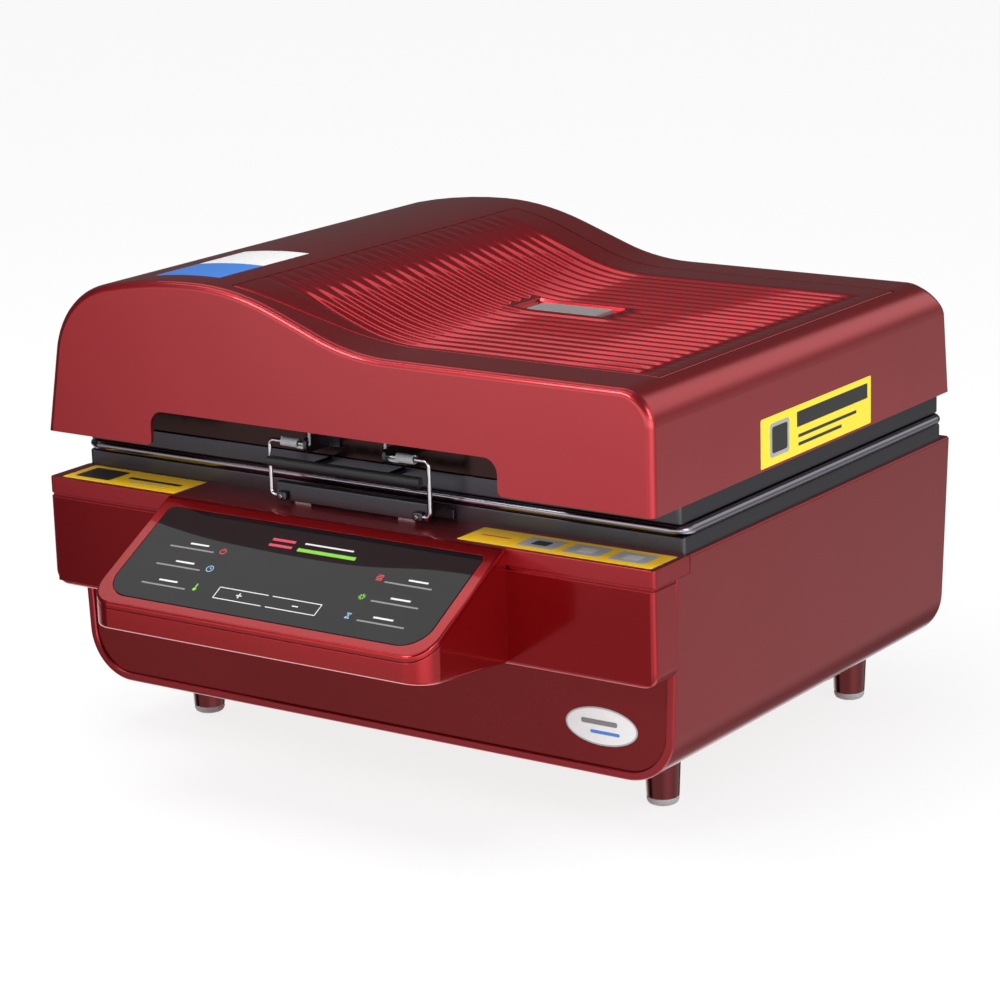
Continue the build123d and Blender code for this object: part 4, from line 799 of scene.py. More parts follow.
def hood_skin():
    """The hood's outer skin with its rounded front and rear edges, closed at the front and rear."""
    path = hood_path()
    front_round, rear_round = shape().hood_front_round / MM, shape().hood_rear_round / MM
    quarter = [radians(t) for t in range(0, 91, 15)]
    middle = 7
    rows = len(quarter) * 2 + middle

    def place(i, j):
        x, z, nx, nz = path[i]
        rear_here = REAR_SIDE_ROUND + (rear_round - REAR_SIDE_ROUND) * smoothstep(nz)
        if j < len(quarter):
            inset, along = front_round * (1 - sin(quarter[j])), front_round * (1 - cos(quarter[j]))
        elif j < len(quarter) + middle:
            inset, along = 0.0, None
        else:
            t = quarter[j - len(quarter) - middle]
            inset, along = rear_here * (1 - cos(t)), rear_here * (1 - sin(t))
        px, pz = x - nx * inset, z - nz * inset
        if i in (0, len(path) - 1):
            px, pz = x - inset / nx, HOOD.bottom
        if j < len(quarter):
            return at(px, HOOD.front + along, pz)
        rear = rear_face(pz)
        if along is None:
            share = (j - len(quarter) + 1) / (middle + 1)
            start = HOOD.front + front_round
            return at(px, start + (rear - rear_here - start) * share, pz)
        return at(px, rear - along, pz)

    obj = skin("hood", len(path), rows, place)
    for at_end in (lambda p: p.y < HOOD.front + NEAR, lambda p: p.y > rear_face(p.z) - NEAR):
        with editing(obj, "EDGE", lambda a, b: at_end(a) and at_end(b)):
            bpy.ops.mesh.edge_face_add()
    high = (HOOD.bottom + HOOD.top) / 2 * MM
    consistent(obj, lambda faces: sum(f.normal.z * f.area for f in faces if f.center.z > high) < 0)
    return obj


def notch_tool():
    """What the handle notch takes out of the hood's front, with eased lower corners."""
    left, right, top = NOTCH["left"], NOTCH["right"], NOTCH["top"]
    mouth, corner, flare = NOTCH["mouth"], NOTCH["round"], NOTCH["flare"]
    bottom = HOOD.bottom
    rise = top - bottom - corner - mouth
    outline = trace((left - mouth - flare, bottom), 0, [
        (flare, 0), (mouth, 90), (rise, 0), (corner, -90), (right - left - 2 * corner, 0),
        (corner, -90), (rise, 0), (mouth, 90), (flare, 0)], 15)
    below = bottom - 10
    outline = points_of(outline) + [(right + mouth + flare, below), (left - mouth - flare, below)]
    return upright("notch_tool", outline, HOOD.front - 5, HOOD.front + 12)


class PRESS_OT_hood(bpy.types.Operator):
    """Moulded hood with its crest, its handle notch and the opening for the ribbed panel"""
    bl_idname = "heat_press.hood"
    bl_label = "Hood"

    def execute(self, context):
        obj = hood_skin()
        walled(obj, shape().hood_wall / MM, use_even_offset=True)
        cut(obj, notch_tool())
        cut(obj, flat("panel_tool", ribbed_outline(shape().panel_gap / MM), FLAT_Z - 40, CREST_Z + 20))
        soften(obj, 0.7, 2, 55)
        dress(smooth(obj), "lid", "hood red", "hood_shell")
        return {"FINISHED"}


def rib_drop(x, y):
    """Depth of the panel's surface below the hood's line: grooves, faded at both ends."""
    phase = (y - RIBS["first"]) / RIBS["pitch"]
    if not -0.5 <= phase <= shape().rib_count - 0.5:
        return 0.0
    wave = 0.5 + 0.5 * cos(2 * pi * phase)
    fade = (smoothstep((x - RIBS["left"]) / RIBS["left_fade"])
            * smoothstep((RIBS["right"] - x) / RIBS["right_fade"]))
    fade *= 1 - (FLATTER["share"] * smoothstep((x - FLATTER["left"]) / FLATTER["fade"])
                 * smoothstep((FLATTER["right"] - x) / FLATTER["fade"]))
    sides, ends = POCKET_BORDER["sides"], POCKET_BORDER["ends"]
    clear = max(POCKET["left"] - sides - x, x - POCKET["right"] - sides,
                POCKET["front"] - ends - y, y - POCKET["rear"] - ends)
    return shape().rib_depth / MM * wave * fade * smoothstep(clear / POCKET_BORDER["fade"])


def pocket_drop(x, y):
    """Depth of the badge's pocket."""
    inside = min(x - POCKET["left"], POCKET["right"] - x, y - POCKET["front"], POCKET["rear"] - y)
    return POCKET["depth"] * smoothstep(inside / POCKET["wall"] + 0.5)


def spread(first, step, count):
    """A set of places in even steps."""
    return {first + step * i for i in range(count)}


def ribbed_stations():
    """Columns and rows of the ribbed panel: even, closer at the ends of the ribs and at the pocket."""
    left, right, rear = PANEL["left"], PANEL["right"], PANEL["rear"]
    step = 0.6
    columns = {left, left + step, left + 2 * step, right - 2 * step, right - step, right}
    columns |= spread(left + 3, 3, 16) | spread(left + 46, 2, 70) | spread(left + 51, 6, 46)
    columns |= {right - 3 - 2.5 * i for i in range(16)}
    columns |= {x + side * step for x in (POCKET["left"], POCKET["right"]) for side in (-1, 1)}
    columns = {c for c in columns if not RIBS["right"] < c < right - 3 or c > right - 1.3}
    rows = spread(RIBS["first"] - RIBS["pitch"] / 2, RIBS["pitch"] / 10, shape().rib_count * 10 + 1)
    rows |= {rear - 25, rear - 15, rear - 2, rear - 2 * step, rear - step, rear}
    for y in (POCKET["front"], POCKET["rear"]):
        rows = {r for r in rows if abs(r - y) > 1.5 * step} | {y - step, y + step}
    return sorted(columns), sorted(rows)


def seat_strip(name, columns, rows, spot):
    """One side of the seat under the ribbed panel's seam; spot gives a point in plan."""
    path = hood_path(1.0)

    def place(i, j):
        x, y = spot(i, j)
        z, nx, nz = hood_height(x, path)
        return at(x - nx * SEAT["drop"], y, z - nz * SEAT["drop"])

    obj = skin(name, columns, rows, place)
    face_up(obj)
    return walled(obj, SEAT["thickness"])


def panel_seat():
    """Ledge under the seam, which closes the hood below the panel's edge; it is black plastic as painted
    shade in the seam.
    """
    inside, outside = SEAT["inside"], SEAT["outside"]
    width = inside + outside
    left, right, rear = PANEL["left"] - outside, PANEL["right"] + outside, PANEL["rear"]
    count, columns, rows = 128, 4, 13

    def across(i):
        return left + (right - left) * i / (count - 1)

    def lengthwise(i, j, start):
        x = start + width * i / (columns - 1)
        front = swept_front(x) + inside
        return x, front + (rear - inside - front) * j / (rows - 1)

    strips = [
        seat_strip("seat_front", count, 2, lambda i, j: (
            across(i), swept_front(across(i)) + (inside if j else -outside))),
        seat_strip("seat_rear", count, 2, lambda i, j: (across(i), rear + (outside if j else -inside))),
    ]
    strips += [seat_strip(f"seat_side_{n}", columns, rows, lambda i, j: lengthwise(i, j, start))
               for n, start in enumerate((left, right - width))]
    # black plastic: painted shade in the seam round the panel
    dress(joined("panel_seat", *strips), "lid", "black plastic")


class PRESS_OT_ribbed_top(bpy.types.Operator):
    """Ribbed panel that closes the hood's top, with the badge's pocket"""
    bl_idname = "heat_press.ribbed_top"
    bl_label = "Ribbed Top"

    def execute(self, context):
        path = hood_path(0.5)
        columns, rows = ribbed_stations()
        lead, first = 7, rows[0]  # lead: rows between the swept front edge and the first even row

        def place(i, j):
            x = columns[i]
            front = swept_front(x)
            if j < lead:
                y = front + (0.6 if j == 1 else (first - front) * j / lead)
            else:
                y = rows[j - lead]
            z, nx, nz = hood_height(x, path)
            edge = j == 0 or i in (0, len(columns) - 1) or y >= PANEL["rear"]
            drop = rib_drop(x, y) if j >= lead else 0.0
            drop += pocket_drop(x, y) + (PANEL["edge_drop"] if edge else 0.0)
            return at(x - nx * drop, y, z - nz * drop)

        obj = skin("ribbed_top", len(columns), len(rows) + lead, place)
        face_up(obj)
        walled(obj, PANEL["thickness"])
        bpy.ops.object.shade_smooth_by_angle(angle=radians(50))
        dress(obj, "lid", "panel red", "ribbed_panel")
        panel_seat()
        return {"FINISHED"}


# ---------------------------------------------------------------- base
BASE_LEAN, BASE_FOLD, BASE_HEM, BASE_SHEET = 2.3, 2.0, 14.0, 1.6
PANEL_BEHIND = 2.5
LIP_EDGE, LIP_DEPTH = 2.6, 4.4


def base_path():
    """Front outline of the base: top hem, right side, rounded underside, left side, top hem."""
    corner = shape().base_round / MM
    lean = radians(BASE_LEAN)
    down = (CAP.top - BASE.bottom - BASE_FOLD - corner * (1 - sin(lean))) / cos(lean)
    half_moves = [(BASE_HEM - BASE_FOLD, 0), (BASE_FOLD, -90 - BASE_LEAN), (down, 0),
                  (corner, BASE_LEAN - 90)]
    right = trace((BASE.right - BASE_HEM, CAP.top), 0, half_moves, 6)
    return right + flipped(right)


class PRESS_OT_base_shell(bpy.types.Operator):
    """Bent base shell with its folded front lip"""
    bl_idname = "heat_press.base_shell"
    bl_label = "Base Shell"

    def execute(self, context):
        path = base_path()
        lip = shape().lip_width / MM
        front, rear = BASE.front, BASE.rear
        ease = LIP_EDGE
        rows = [(lip, front + LIP_DEPTH), (lip, front + 0.8), (lip - 0.7, front)]
        rows += [(ease * (1 - sin(t)), front + ease * (1 - cos(t))) for t in (pi / 8 * k for k in range(5))]
        rows += [(0.0, CAP.rear + 0.4)]
        rows += [(0.0, front + (rear - front) * k / 6) for k in range(1, 6)]
        rows += [(0.0, rear - 1.2), (0.4, rear - 0.3), (1.2, rear)]

        def place(i, j):
            x, z, nx, nz = path[i]
            inset, y = rows[j]
            return at(x - nx * inset, y, z - nz * inset)

        obj = skin("base_shell", len(path), len(rows), place)
        with editing(obj):
            bpy.ops.mesh.bisect(plane_co=at(0, 0, LEDGE.top), plane_no=(0, 0, 1))
        with editing(obj, "FACE", lambda c, n: c.y < CAP.rear + 0.3 and c.z > LEDGE.top):
            bpy.ops.mesh.delete(type="FACE")
        low = (BASE.bottom + 15) * MM
        consistent(obj, lambda faces: sum(f.normal.z * f.area for f in faces if f.center.z < low) > 0)
        walled(obj, BASE_SHEET)
        dress(smooth(obj, 35), "base", "base red", "base_wrap")
        return {"FINISHED"}


class PRESS_OT_lower_front(bpy.types.Operator):
    """Dark lower panel behind the base's lip"""
    bl_idname = "heat_press.lower_front"
    bl_label = "Lower Front"

    def execute(self, context):
        inset = shape().lip_width / MM + 0.35
        outline = [(x - nx * inset, min(z - nz * inset, LEDGE.top - 3)) for x, z, nx, nz in base_path()[3:-3]]
        front = BASE.front + PANEL_BEHIND
        obj = upright("lower_front", outline, front, front + 2)
        round_edges(obj, 0.8, lambda a, b: max(a.y, b.y) < front + NEAR, 3)
        dress(smooth(obj), "base", "maroon", "base_front_panel")
        return {"FINISHED"}


class PRESS_OT_cap(bpy.types.Operator):
    """Cap plate over the ledge"""
    bl_idname = "heat_press.cap"
    bl_label = "Cap Plate"

    def execute(self, context):
        outline = rounded_box(CAP.left, CAP.right, CAP.front, CAP.rear, (1, 1, 4, 4))
        obj = flat("cap_plate", outline, CAP.bottom, CAP.top)
        round_edges(obj, 4.2, lambda a, b: min(a.z, b.z) > CAP.top - NEAR, 7)
        round_edges(obj, 1.6, lambda a, b: max(a.z, b.z) < CAP.bottom + NEAR, 3)
        dress(smooth(obj), "base", "cap red", "deck_cap")
        return {"FINISHED"}


class PRESS_OT_ledge(bpy.types.Operator):
    """Upper front box with its rounded edges and the shadow groove under the cap"""
    bl_idname = "heat_press.ledge"
    bl_label = "Ledge"

    def execute(self, context):
        front, top, bottom = LEDGE.front, LEDGE.top, LEDGE.bottom
        ease, groove, rear = shape().ledge_round / MM, 2.5, -0.5
        outline = rounded_box(LEDGE.left, LEDGE.right, bottom, top - groove, (0.5, 0.5, 12, 12), 9)
        outline = [(x, top - groove if z > top - 4 else z) for x, z in outline]
        outline = [(x, z) for n, (x, z) in enumerate(outline)
                   if hypot(x - outline[n - 1][0], z - outline[n - 1][1]) > 1]
        obj = upright("ledge", outline, front, rear)
        round_edges(obj, ease, lambda a, b: max(a.y, b.y) < front + NEAR and min(a.z, b.z) < top - 3, 8)
        round_edges(obj, 0.7, lambda a, b: min(a.y, b.y) > rear - NEAR, 2)
        neck = block("neck", LEDGE.left + 2, LEDGE.right - 2, front + 2, -0.8, top - 3, CAP.bottom)
        dress(smooth(joined("ledge", obj, neck)), "base", "cap red", "ledge_cover")
        # the panes give the ledge's front a darker, glossier red than its body, as painted shade and
        # reflection
        inner, outer = GLASS["half"] + 4.5, LEDGE.right - ease
        for name, x0, x1 in (("ledge_pane_left", -outer, -inner), ("ledge_pane_right", inner, outer)):
            corners = (1, 1, 9, 1) if x0 < 0 else (1, 1, 1, 9)
            face = rounded_box(x0, x1, bottom + ease - 0.6, top - 3.2, corners)
            pane = upright(name, face, front - 0.12, front + 0.2)
            round_edges(pane, 0.1, lambda a, b: max(a.y, b.y) < front - 0.11, 1)
            dress(smooth(pane), "base", "ledge red")
        return {"FINISHED"}


# ---------------------------------------------------------------- console
SLOPE = radians(29.25)
SLOPE_NORMAL = Vector((0, -sin(SLOPE), cos(SLOPE)))
SLOPE_START = (-31.4, 224.0)
NOSE_BOTTOM, NOSE_STEP = 142.8, 133.2
GLASS = {"half": 150.5, "from": 14.0, "to": 112.5, "low_round": 22.0, "top_round": 5.0}


def down_slope(x, s, lift=0.0):
    """Place on the console's sloping face, s millimetres down it and lifted off it."""
    y = SLOPE_START[0] - s * cos(SLOPE) - lift * sin(SLOPE)
    z = SLOPE_START[1] - s * sin(SLOPE) + lift * cos(SLOPE)
    return at(x, y, z)


def on_slope(lift, tolerance):
    """Test of whether an edge lies in the plane that is lifted off the console's face."""
    start = back(down_slope(0, 0, lift))
    return lambda *ends: all(abs((end - start).dot(SLOPE_NORMAL)) < tolerance for end in ends)


def console_block(name):
    """The whole nose: side outline drawn out to its width, with rounded front corners."""
    front, top = CONSOLE.front, CAP.top
    back_y = SLOPE_START[0] - (SLOPE_START[1] - top) / tan(SLOPE)
    nose_top = SLOPE_START[1] - (SLOPE_START[0] - front) * tan(SLOPE)
    outline = [(front, NOSE_BOTTOM), (LEDGE.front, NOSE_STEP), (LEDGE.front, top), (back_y, top),
               (front, nose_top)]
    obj = sideways(name, outline, CONSOLE.left, CONSOLE.right)
    return round_edges(obj, shape().console_round / MM,
                       lambda a, b: max(a.y, b.y) < front + 0.1 and abs(a.x - b.x) < 0.1, 10)


def parted(obj, depth, **side):
    """Cuts a block at a depth in metres below the console's face, clears one side and closes the cut."""
    with editing(obj):
        bpy.ops.mesh.bisect(plane_co=down_slope(0, 0) - SLOPE_NORMAL * depth, plane_no=SLOPE_NORMAL,
                            use_fill=True, **side)


def glass_prism(name, grow, low, high):
    """The touch glass's outline drawn out between two lifts off the slope."""
    g = GLASS
    outline = rounded_box(-g["half"] - grow, g["half"] + grow, -g["to"] - grow, -g["from"] + grow,
                          (g["top_round"] + grow,) * 2 + (g["low_round"] + grow,) * 2, 7.5)
    return prism(name, outline, lambda x, s: down_slope(x, -s, low), SLOPE_NORMAL * (high - low) * MM)


class PRESS_OT_console(bpy.types.Operator):
    """Console nose: lower body and upper bezel, parted by a fine seam"""
    bl_idname = "heat_press.console"
    bl_label = "Console"

    def execute(self, context):
        seam, half_gap = shape().console_seam, 0.3 * MM
        whole = console_block("console_bezel")
        round_edges(whole, shape().console_edge / MM, on_slope(0, 0.05), 6)
        body = copied(whole, "console_body")
        parted(whole, seam - half_gap, clear_inner=True)
        parted(body, seam + half_gap, clear_outer=True)
        round_edges(body, 2.6, lambda a, b: max(a.z, b.z) < NOSE_BOTTOM + 0.1
                    and min(a.y, b.y) < LEDGE.front - 1, 4)
        soften(body, 0.35, 2, 60)
        cut(whole, glass_prism("glass_tool", 0.5, -1.2, 4.0))
        soften(whole, 0.3, 2, 60)
        for obj in (whole, body):
            dress(smooth(obj, 28), "base", "console red", "console_housing")
        return {"FINISHED"}


class PRESS_OT_glass(bpy.types.Operator):
    """Touch glass let into the console"""
    bl_idname = "heat_press.glass"
    bl_label = "Touch Glass"

    def execute(self, context):
        proud = 0.15
        obj = glass_prism("touch_glass", 0, -1.1, proud)
        round_edges(obj, 0.35, on_slope(proud, NEAR), 3)
        dress(smooth(obj), "base", "black glass", "console_glass")
        return {"FINISHED"}


# ---------------------------------------------------------------- stage
# share of the floor's own light where it is looked at, so that it stays pale and keeps the shadow
FLOOR_GLOW = 0.82


class PRESS_OT_stage(bpy.types.Operator):
    """Camera, pale floor, soft lamps and pale surroundings"""
    bl_idname = "heat_press.stage"
    bl_label = "Stage"

    def execute(self, context):
        make_camera(context)
        make_floor()
        make_world(context)
        make_lamps()
        return {"FINISHED"}


def make_camera(context):
    """Camera at the view that shows the front and the right side."""
    stage = context.scene.heat_press_stage
    az, el, roll = (radians(v) for v in (stage.azimuth, stage.elevation, stage.roll))
    ahead = Vector((-sin(az) * cos(el), cos(az) * cos(el), -sin(el)))
    right = Vector((cos(az), sin(az), 0))
    up = right.cross(ahead)
    right, up = right * cos(roll) + up * sin(roll), up * cos(roll) - right * sin(roll)
    clear_selection()
    bpy.ops.object.camera_add()
    camera = context.object
    camera.name = "camera"
    camera.matrix_world = Matrix((right, up, -ahead)).transposed().to_4x4()
    camera.location = stage.position
    camera.data.lens = stage.focal_length
    camera.data.clip_start, camera.data.clip_end = 0.05, 100
    context.scene.camera = camera


def make_floor():
    """Pale floor that keeps the machine's shadow."""
    clear_selection()
    bpy.ops.mesh.primitive_plane_add(size=60)
    floor = started("floor")
    paint = Paint("floor_paint", (0.80, 0.80, 0.80), Roughness=0.9, Specular_IOR_Level=0.1)
    glow = paint.node("ShaderNodeEmission", Color=(1, 1, 1, 1), Strength=1.0)["Emission"]
    seen = paint.node("ShaderNodeLightPath")["Is Camera Ray"]
    shown = paint.node("ShaderNodeMixShader", Fac=seen * FLOOR_GLOW,
                       _1=Value(paint.tree, paint.shader.outputs[0]), _2=glow)["Shader"]
    out = next(n for n in paint.tree.nodes if n.type == "OUTPUT_MATERIAL")
    paint.feed(out.inputs["Surface"], shown)
    floor.data.materials.append(paint.material)
    floor.visible_glossy = False
    floor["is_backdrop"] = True


def ramp(value, low, high, start, end):
    """A smooth change from start to end while the value goes from low to high."""
    node = value.tree.nodes.new("ShaderNodeMapRange")
    node.interpolation_type = "SMOOTHSTEP"
    value.tree.links.new(value.socket, node.inputs["Value"])
    for name, number in (("From Min", low), ("From Max", high), ("To Min", start), ("To Max", end)):
        node.inputs[name].default_value = number
    return Value(value.tree, node.outputs["Result"])


def make_world(context):
    """Pale surroundings: white in view, even as light, and in gloss a dim room with a bright table."""
    world = bpy.data.worlds.new("studio")
    context.scene.world = world
    world.use_nodes = True
    tree = world.node_tree
    tree.nodes.clear()
    path = tree.nodes.new("ShaderNodeLightPath")
    place = tree.nodes.new("ShaderNodeTexCoord")
    split = tree.nodes.new("ShaderNodeSeparateXYZ")
    tree.links.new(place.outputs["Generated"], split.inputs[0])
    x, y, z = (Value(tree, split.outputs[name]) for name in "XYZ")
    seen = Value(tree, path.outputs["Is Camera Ray"])
    gloss = Value(tree, path.outputs["Is Glossy Ray"])
    through = Value(tree, path.outputs["Is Transmission Ray"])
    # x, y and z are a ray's direction to the right, to the back and up, and each ramp is the brightness
    # of one part of the room
    overhead = ramp(x, -0.48, -0.28, 1.0, 0.2)
    wall = ramp(x, -0.71, -0.575, 0.04, 1.75) + ramp(x, 0.35, 0.8, 0.0, 1.2)
    upper = ramp(z, -0.05, 0.35, 0.0, 0.2) * overhead
    ahead = wall * (ramp(z, -0.30, -0.10, 0.32, 1.0) * ramp(z, -0.05, 0.35, 1.0, 0.0) + upper)
    beside = ramp(x, 0.1, 0.45, 0.0, 1.0) * ramp(z, -0.33, -0.17, 0.60, 0.28) * ramp(z, -0.1, 0.2, 1.0, 0.0)
    shoulder = ramp(x, 0.02, 0.24, 0.0, 0.8) * ramp(z, 0.0, 0.32, 0.0, 1.0) * ramp(z, 0.62, 0.8, 1.0, 0.0)
    under = ramp(x, -0.35, -0.12, 1.2, 0.0) * ramp(z, -0.36, -0.18, 1.0, 0.0)
    table, ceiling = ramp(z, -0.85, -0.58, 1.3, 0.0), ramp(z, 0.66, 0.84, 0.0, 0.3) * overhead
    behind = 0.07 + beside + shoulder + under + table + ceiling
    front = ramp(y, -0.35, 0.35, 1.0, 0.0)
    mirrored = gloss * (front * ahead + (1 - front) * behind)
    plain = (1 - seen) * (1 - gloss) * (1 - through) * context.scene.heat_press_stage.world_light
    ground = tree.nodes.new("ShaderNodeBackground")
    ground.inputs["Color"].default_value = (1, 1, 1, 1)
    tree.links.new((seen + mirrored + through + plain).socket, ground.inputs["Strength"])
    out = tree.nodes.new("ShaderNodeOutputWorld")
    tree.links.new(ground.outputs[0], out.inputs["Surface"])


LAMPS = (
    # name, place, aim, width, height, power in watts
    ("ceiling_softbox", (-0.95, 0.20, 2.3), (-0.95, 0.20, 0.0), 2.4, 0.44, 3.8),
    ("edge_softbox", (-0.95, -1.08, 2.3), (-0.95, -1.08, 0.0), 2.4, 0.30, 6.5),
    ("label_softbox", (-0.3, -0.6, 2.6), (0.0, 0.1, 0.2), 1.6, 1.2, 33.0),
    ("front_softbox", (-0.9, -2.4, 1.9), (0.0, 0.0, 0.25), 1.2, 0.8, 22.0),
    ("right_softbox", (2.6, -0.9, 1.4), (0.1, 0.0, 0.2), 1.2, 1.2, 20.0),
)


def make_lamps():
    """Soft lamps overhead, in front and at the right."""
    scale = bpy.context.scene.heat_press_stage.lamp_power
    for name, place, aim, width, height, power in LAMPS:
        clear_selection()
        bpy.ops.object.light_add(type="AREA", location=place)
        lamp = bpy.context.object
        lamp.name = name
        lamp.data.shape = "RECTANGLE"
        lamp.data.size, lamp.data.size_y = width, height
        lamp.data.energy = power * scale
        lamp.visible_glossy = name != "label_softbox"
        lamp.rotation_euler = (Vector(aim) - Vector(place)).to_track_quat("-Z", "Y").to_euler()


# ---------------------------------------------------------------- marks on the touch glass
MARK_LIFT, MARK_HEIGHT = 0.16, 0.12


def slope_prism(outline):
    """A thin raised mark on the touch glass, from points (x, distance down the slope)."""
    return prism("mark", [(x, -s) for x, s in outline], lambda x, s: down_slope(x, -s, MARK_LIFT),
                 SLOPE_NORMAL * MARK_HEIGHT * MM)


def slope_bar(x0, s0, x1, s1, width):
    """A straight mark between two places."""
    run = Vector((x1 - x0, s1 - s0)).normalized() * width / 2
    return slope_prism([(x0 - run.y, s0 + run.x), (x1 - run.y, s1 + run.x),
                        (x1 + run.y, s1 - run.x), (x0 + run.y, s0 - run.x)])


def across_bar(x0, x1, s, width):
    """A straight mark from left to right."""
    return slope_bar(x0, s, x1, s, width)


def slope_arc(x, s, radius, width, start=0, end=360):
    """A mark bent round a centre, from one clock angle to another, in degrees."""
    count = ceil((end - start) / 12)
    whole = end - start == 360
    inner, outer = radius - width / 2, radius + width / 2
    corners = ((inner, 0), (outer, 0), (outer, 1), (inner, 1))

    def place(i, j):
        a = radians(start + (end - start) * i / count)
        r, up = corners[j]
        return down_slope(x + r * sin(a), s - r * cos(a), MARK_LIFT + up * MARK_HEIGHT)

    obj = skin("mark", count if whole else count + 1, 4, place, close_columns=whole, close_rows=True)
    return outward(obj)


def slope_disc(x, s, radius):
    """A round mark."""
    return slope_prism([(x + radius * sin(a), s - radius * cos(a)) for a in (pi / 8 * i for i in range(16))])


def power_sign(x, s):
    """Open ring with a stroke at its top."""
    return [slope_arc(x, s, 2.6, 0.75, 30, 330), slope_bar(x, s - 3.4, x, s - 0.6, 0.8)]


def clock_sign(x, s):
    """Ring with two hands."""
    return [slope_arc(x, s, 3.0, 0.7), slope_bar(x, s, x, s - 2.0, 0.6), slope_bar(x, s, x + 1.6, s, 0.6)]


def heat_level_sign(x, s):
    """Stem with a bulb."""
    return [slope_disc(x, s + 2.4, 1.7), slope_bar(x, s - 3.4, x, s + 1.4, 1.3)]


def coil_sign(x, s):
    """Four rows of a heating coil, tied at alternate ends."""
    rows = [s - 2.6 + 1.7 * k for k in range(4)]
    bars = [across_bar(x - 2.6, x + 2.6, row, 0.8) for row in rows]
    ends = zip((x + 2.4, x - 2.4, x + 2.4), rows, rows[1:])
    return bars + [slope_bar(end, low, end, high, 0.8) for end, low, high in ends]


def fan_sign(x, s):
    """Ring with eight short blades."""
    turns = [(sin(a), cos(a)) for a in (pi / 4 * k for k in range(8))]
    blades = [slope_bar(x + u, s - v, x + 3.1 * u, s - 3.1 * v, 0.8) for u, v in turns]
    return blades + [slope_arc(x, s, 1.4, 0.8)]


def timer_sign(x, s):
    """Crossed hourglass between two caps."""
    crossed = [slope_bar(x - side * 1.7, s - 2.6, x + side * 1.7, s + 2.2, 0.6) for side in (1, -1)]
    return crossed + [across_bar(x - 2.1, x + 2.1, s - 2.7, 0.6), across_bar(x - 2.1, x + 2.1, s + 2.4, 0.9)]


# rows of marks down the slope: the line's place, the middle of the bar over it, and the sign's place
LEFT_ROWS = ((54.5, -97, 52.0), (74.7, -98, 71.3), (95.8, -100, 91.6))
RIGHT_ROWS = ((55.0, 112, 51.7), (75.2, 108, 73.0), (96.0, 105, 93.4))
LEFT_LINE, RIGHT_LINE = (-123, -80), (84, 127)
SIGN_X = {"left": -72, "coil": 77.7, "fan": 74.4, "timer": 74.3}
BAR_HALF, BAR_ABOVE = 9, 5.4
KEYS = {"left": -50.5, "right": 46.5, "top": 87.5, "bottom": 99.0, "gap": 4}


class PRESS_OT_glass_marks(bpy.types.Operator):
    """Plain signs, bars and key outlines on the touch glass"""
    bl_idname = "heat_press.glass_marks"
    bl_label = "Glass Marks"

    def execute(self, context):
        light, dim = [], []
        for rows, (x0, x1) in ((LEFT_ROWS, LEFT_LINE), (RIGHT_ROWS, RIGHT_LINE)):
            for s, bar_x, _ in rows:
                dim.append(across_bar(x0, x1, s, 1.5))
                light.append(across_bar(bar_x - BAR_HALF, bar_x + BAR_HALF, s - BAR_ABOVE, 1.7))
        k = KEYS
        middle, half_gap = (k["left"] + k["right"]) / 2, k["gap"] / 2
        for x0, x1, side in ((k["left"], middle - half_gap, k["left"]),
                             (middle + half_gap, k["right"], k["right"])):
            light += [across_bar(x0, x1, s, 0.8) for s in (k["top"], k["bottom"])]
            light.append(slope_bar(side, k["top"], side, k["bottom"], 0.8))
        # plus and minus on the keys, and a bar at the top of the glass
        light += [across_bar(-31.6, -26.4, 92.9, 1.1), slope_bar(-29, 90.3, -29, 95.5, 1.1),
                  across_bar(22.2, 27.8, 93.6, 1.1), across_bar(-6, 40, 30.5, 1.5)]
        on_left, on_right = ([row[2] for row in rows] for rows in (LEFT_ROWS, RIGHT_ROWS))
        groups = {
            "red ink": power_sign(SIGN_X["left"], on_left[0]) + coil_sign(SIGN_X["coil"], on_right[0]),
            "sky ink": clock_sign(SIGN_X["left"], on_left[1]) + timer_sign(SIGN_X["timer"], on_right[2]),
            "green ink": heat_level_sign(SIGN_X["left"], on_left[2]) + fan_sign(SIGN_X["fan"], on_right[1])
            + [across_bar(-9, 46, 37.6, 3.4)],
            "rose ink": [across_bar(-37, -15, 31.0, 2.6), across_bar(-37, -15, 37.0, 2.6)],
            "light ink": light,
            "dim ink": dim,
        }
        for ink, marks in groups.items():
            obj = joined("glass_marks_" + ink.split()[0], *marks)
            dress(obj, "base", ink)
        return {"FINISHED"}


# ---------------------------------------------------------------- frames
TRAY = Extent("tray_frame")
RIM = Extent("membrane_frame")
PAN = Extent("lid_frame")
WELL = {"half": 226.0, "front": 57.5, "rear": 379.5, "round": 10.0}
REBATE, SAG_REACH = 12.0, 90.0
TRAY_TOP, TRAY_RIM = 235.0, 2.5
PEG = {"x": 79.0, "half": 4.0, "long": 3.0}
RIM_BOTTOM, RIM_TOP, RIM_LONG = 235.6, 243.6, 413.0
HINGE = {"x": 170.0, "y": 437.5, "z": 239.6, "arm_half": 8.8, "knuckle": 6.0, "bore": 3.05}


def loop_of(x, y0, y1, radius, z):
    """A rounded rectangle at one height, always with as many points."""
    return [(px, py, z) for px, py in rounded_box(-x, x, y0, y1, radius, 90 / 8)]


def lofted(name, loops):
    """Ring whose section runs through loops of equally many points."""
    return outward(skin(name, len(loops[0]), len(loops), lambda i, j: at(*loops[j][i]),
                        close_columns=True, close_rows=True))


def well_loop(grow, z):
    """The mouth of the well, grown all round, at one height."""
    w = WELL
    return loop_of(w["half"] + grow, w["front"] - grow, w["rear"] + grow, w["round"] + grow, z)


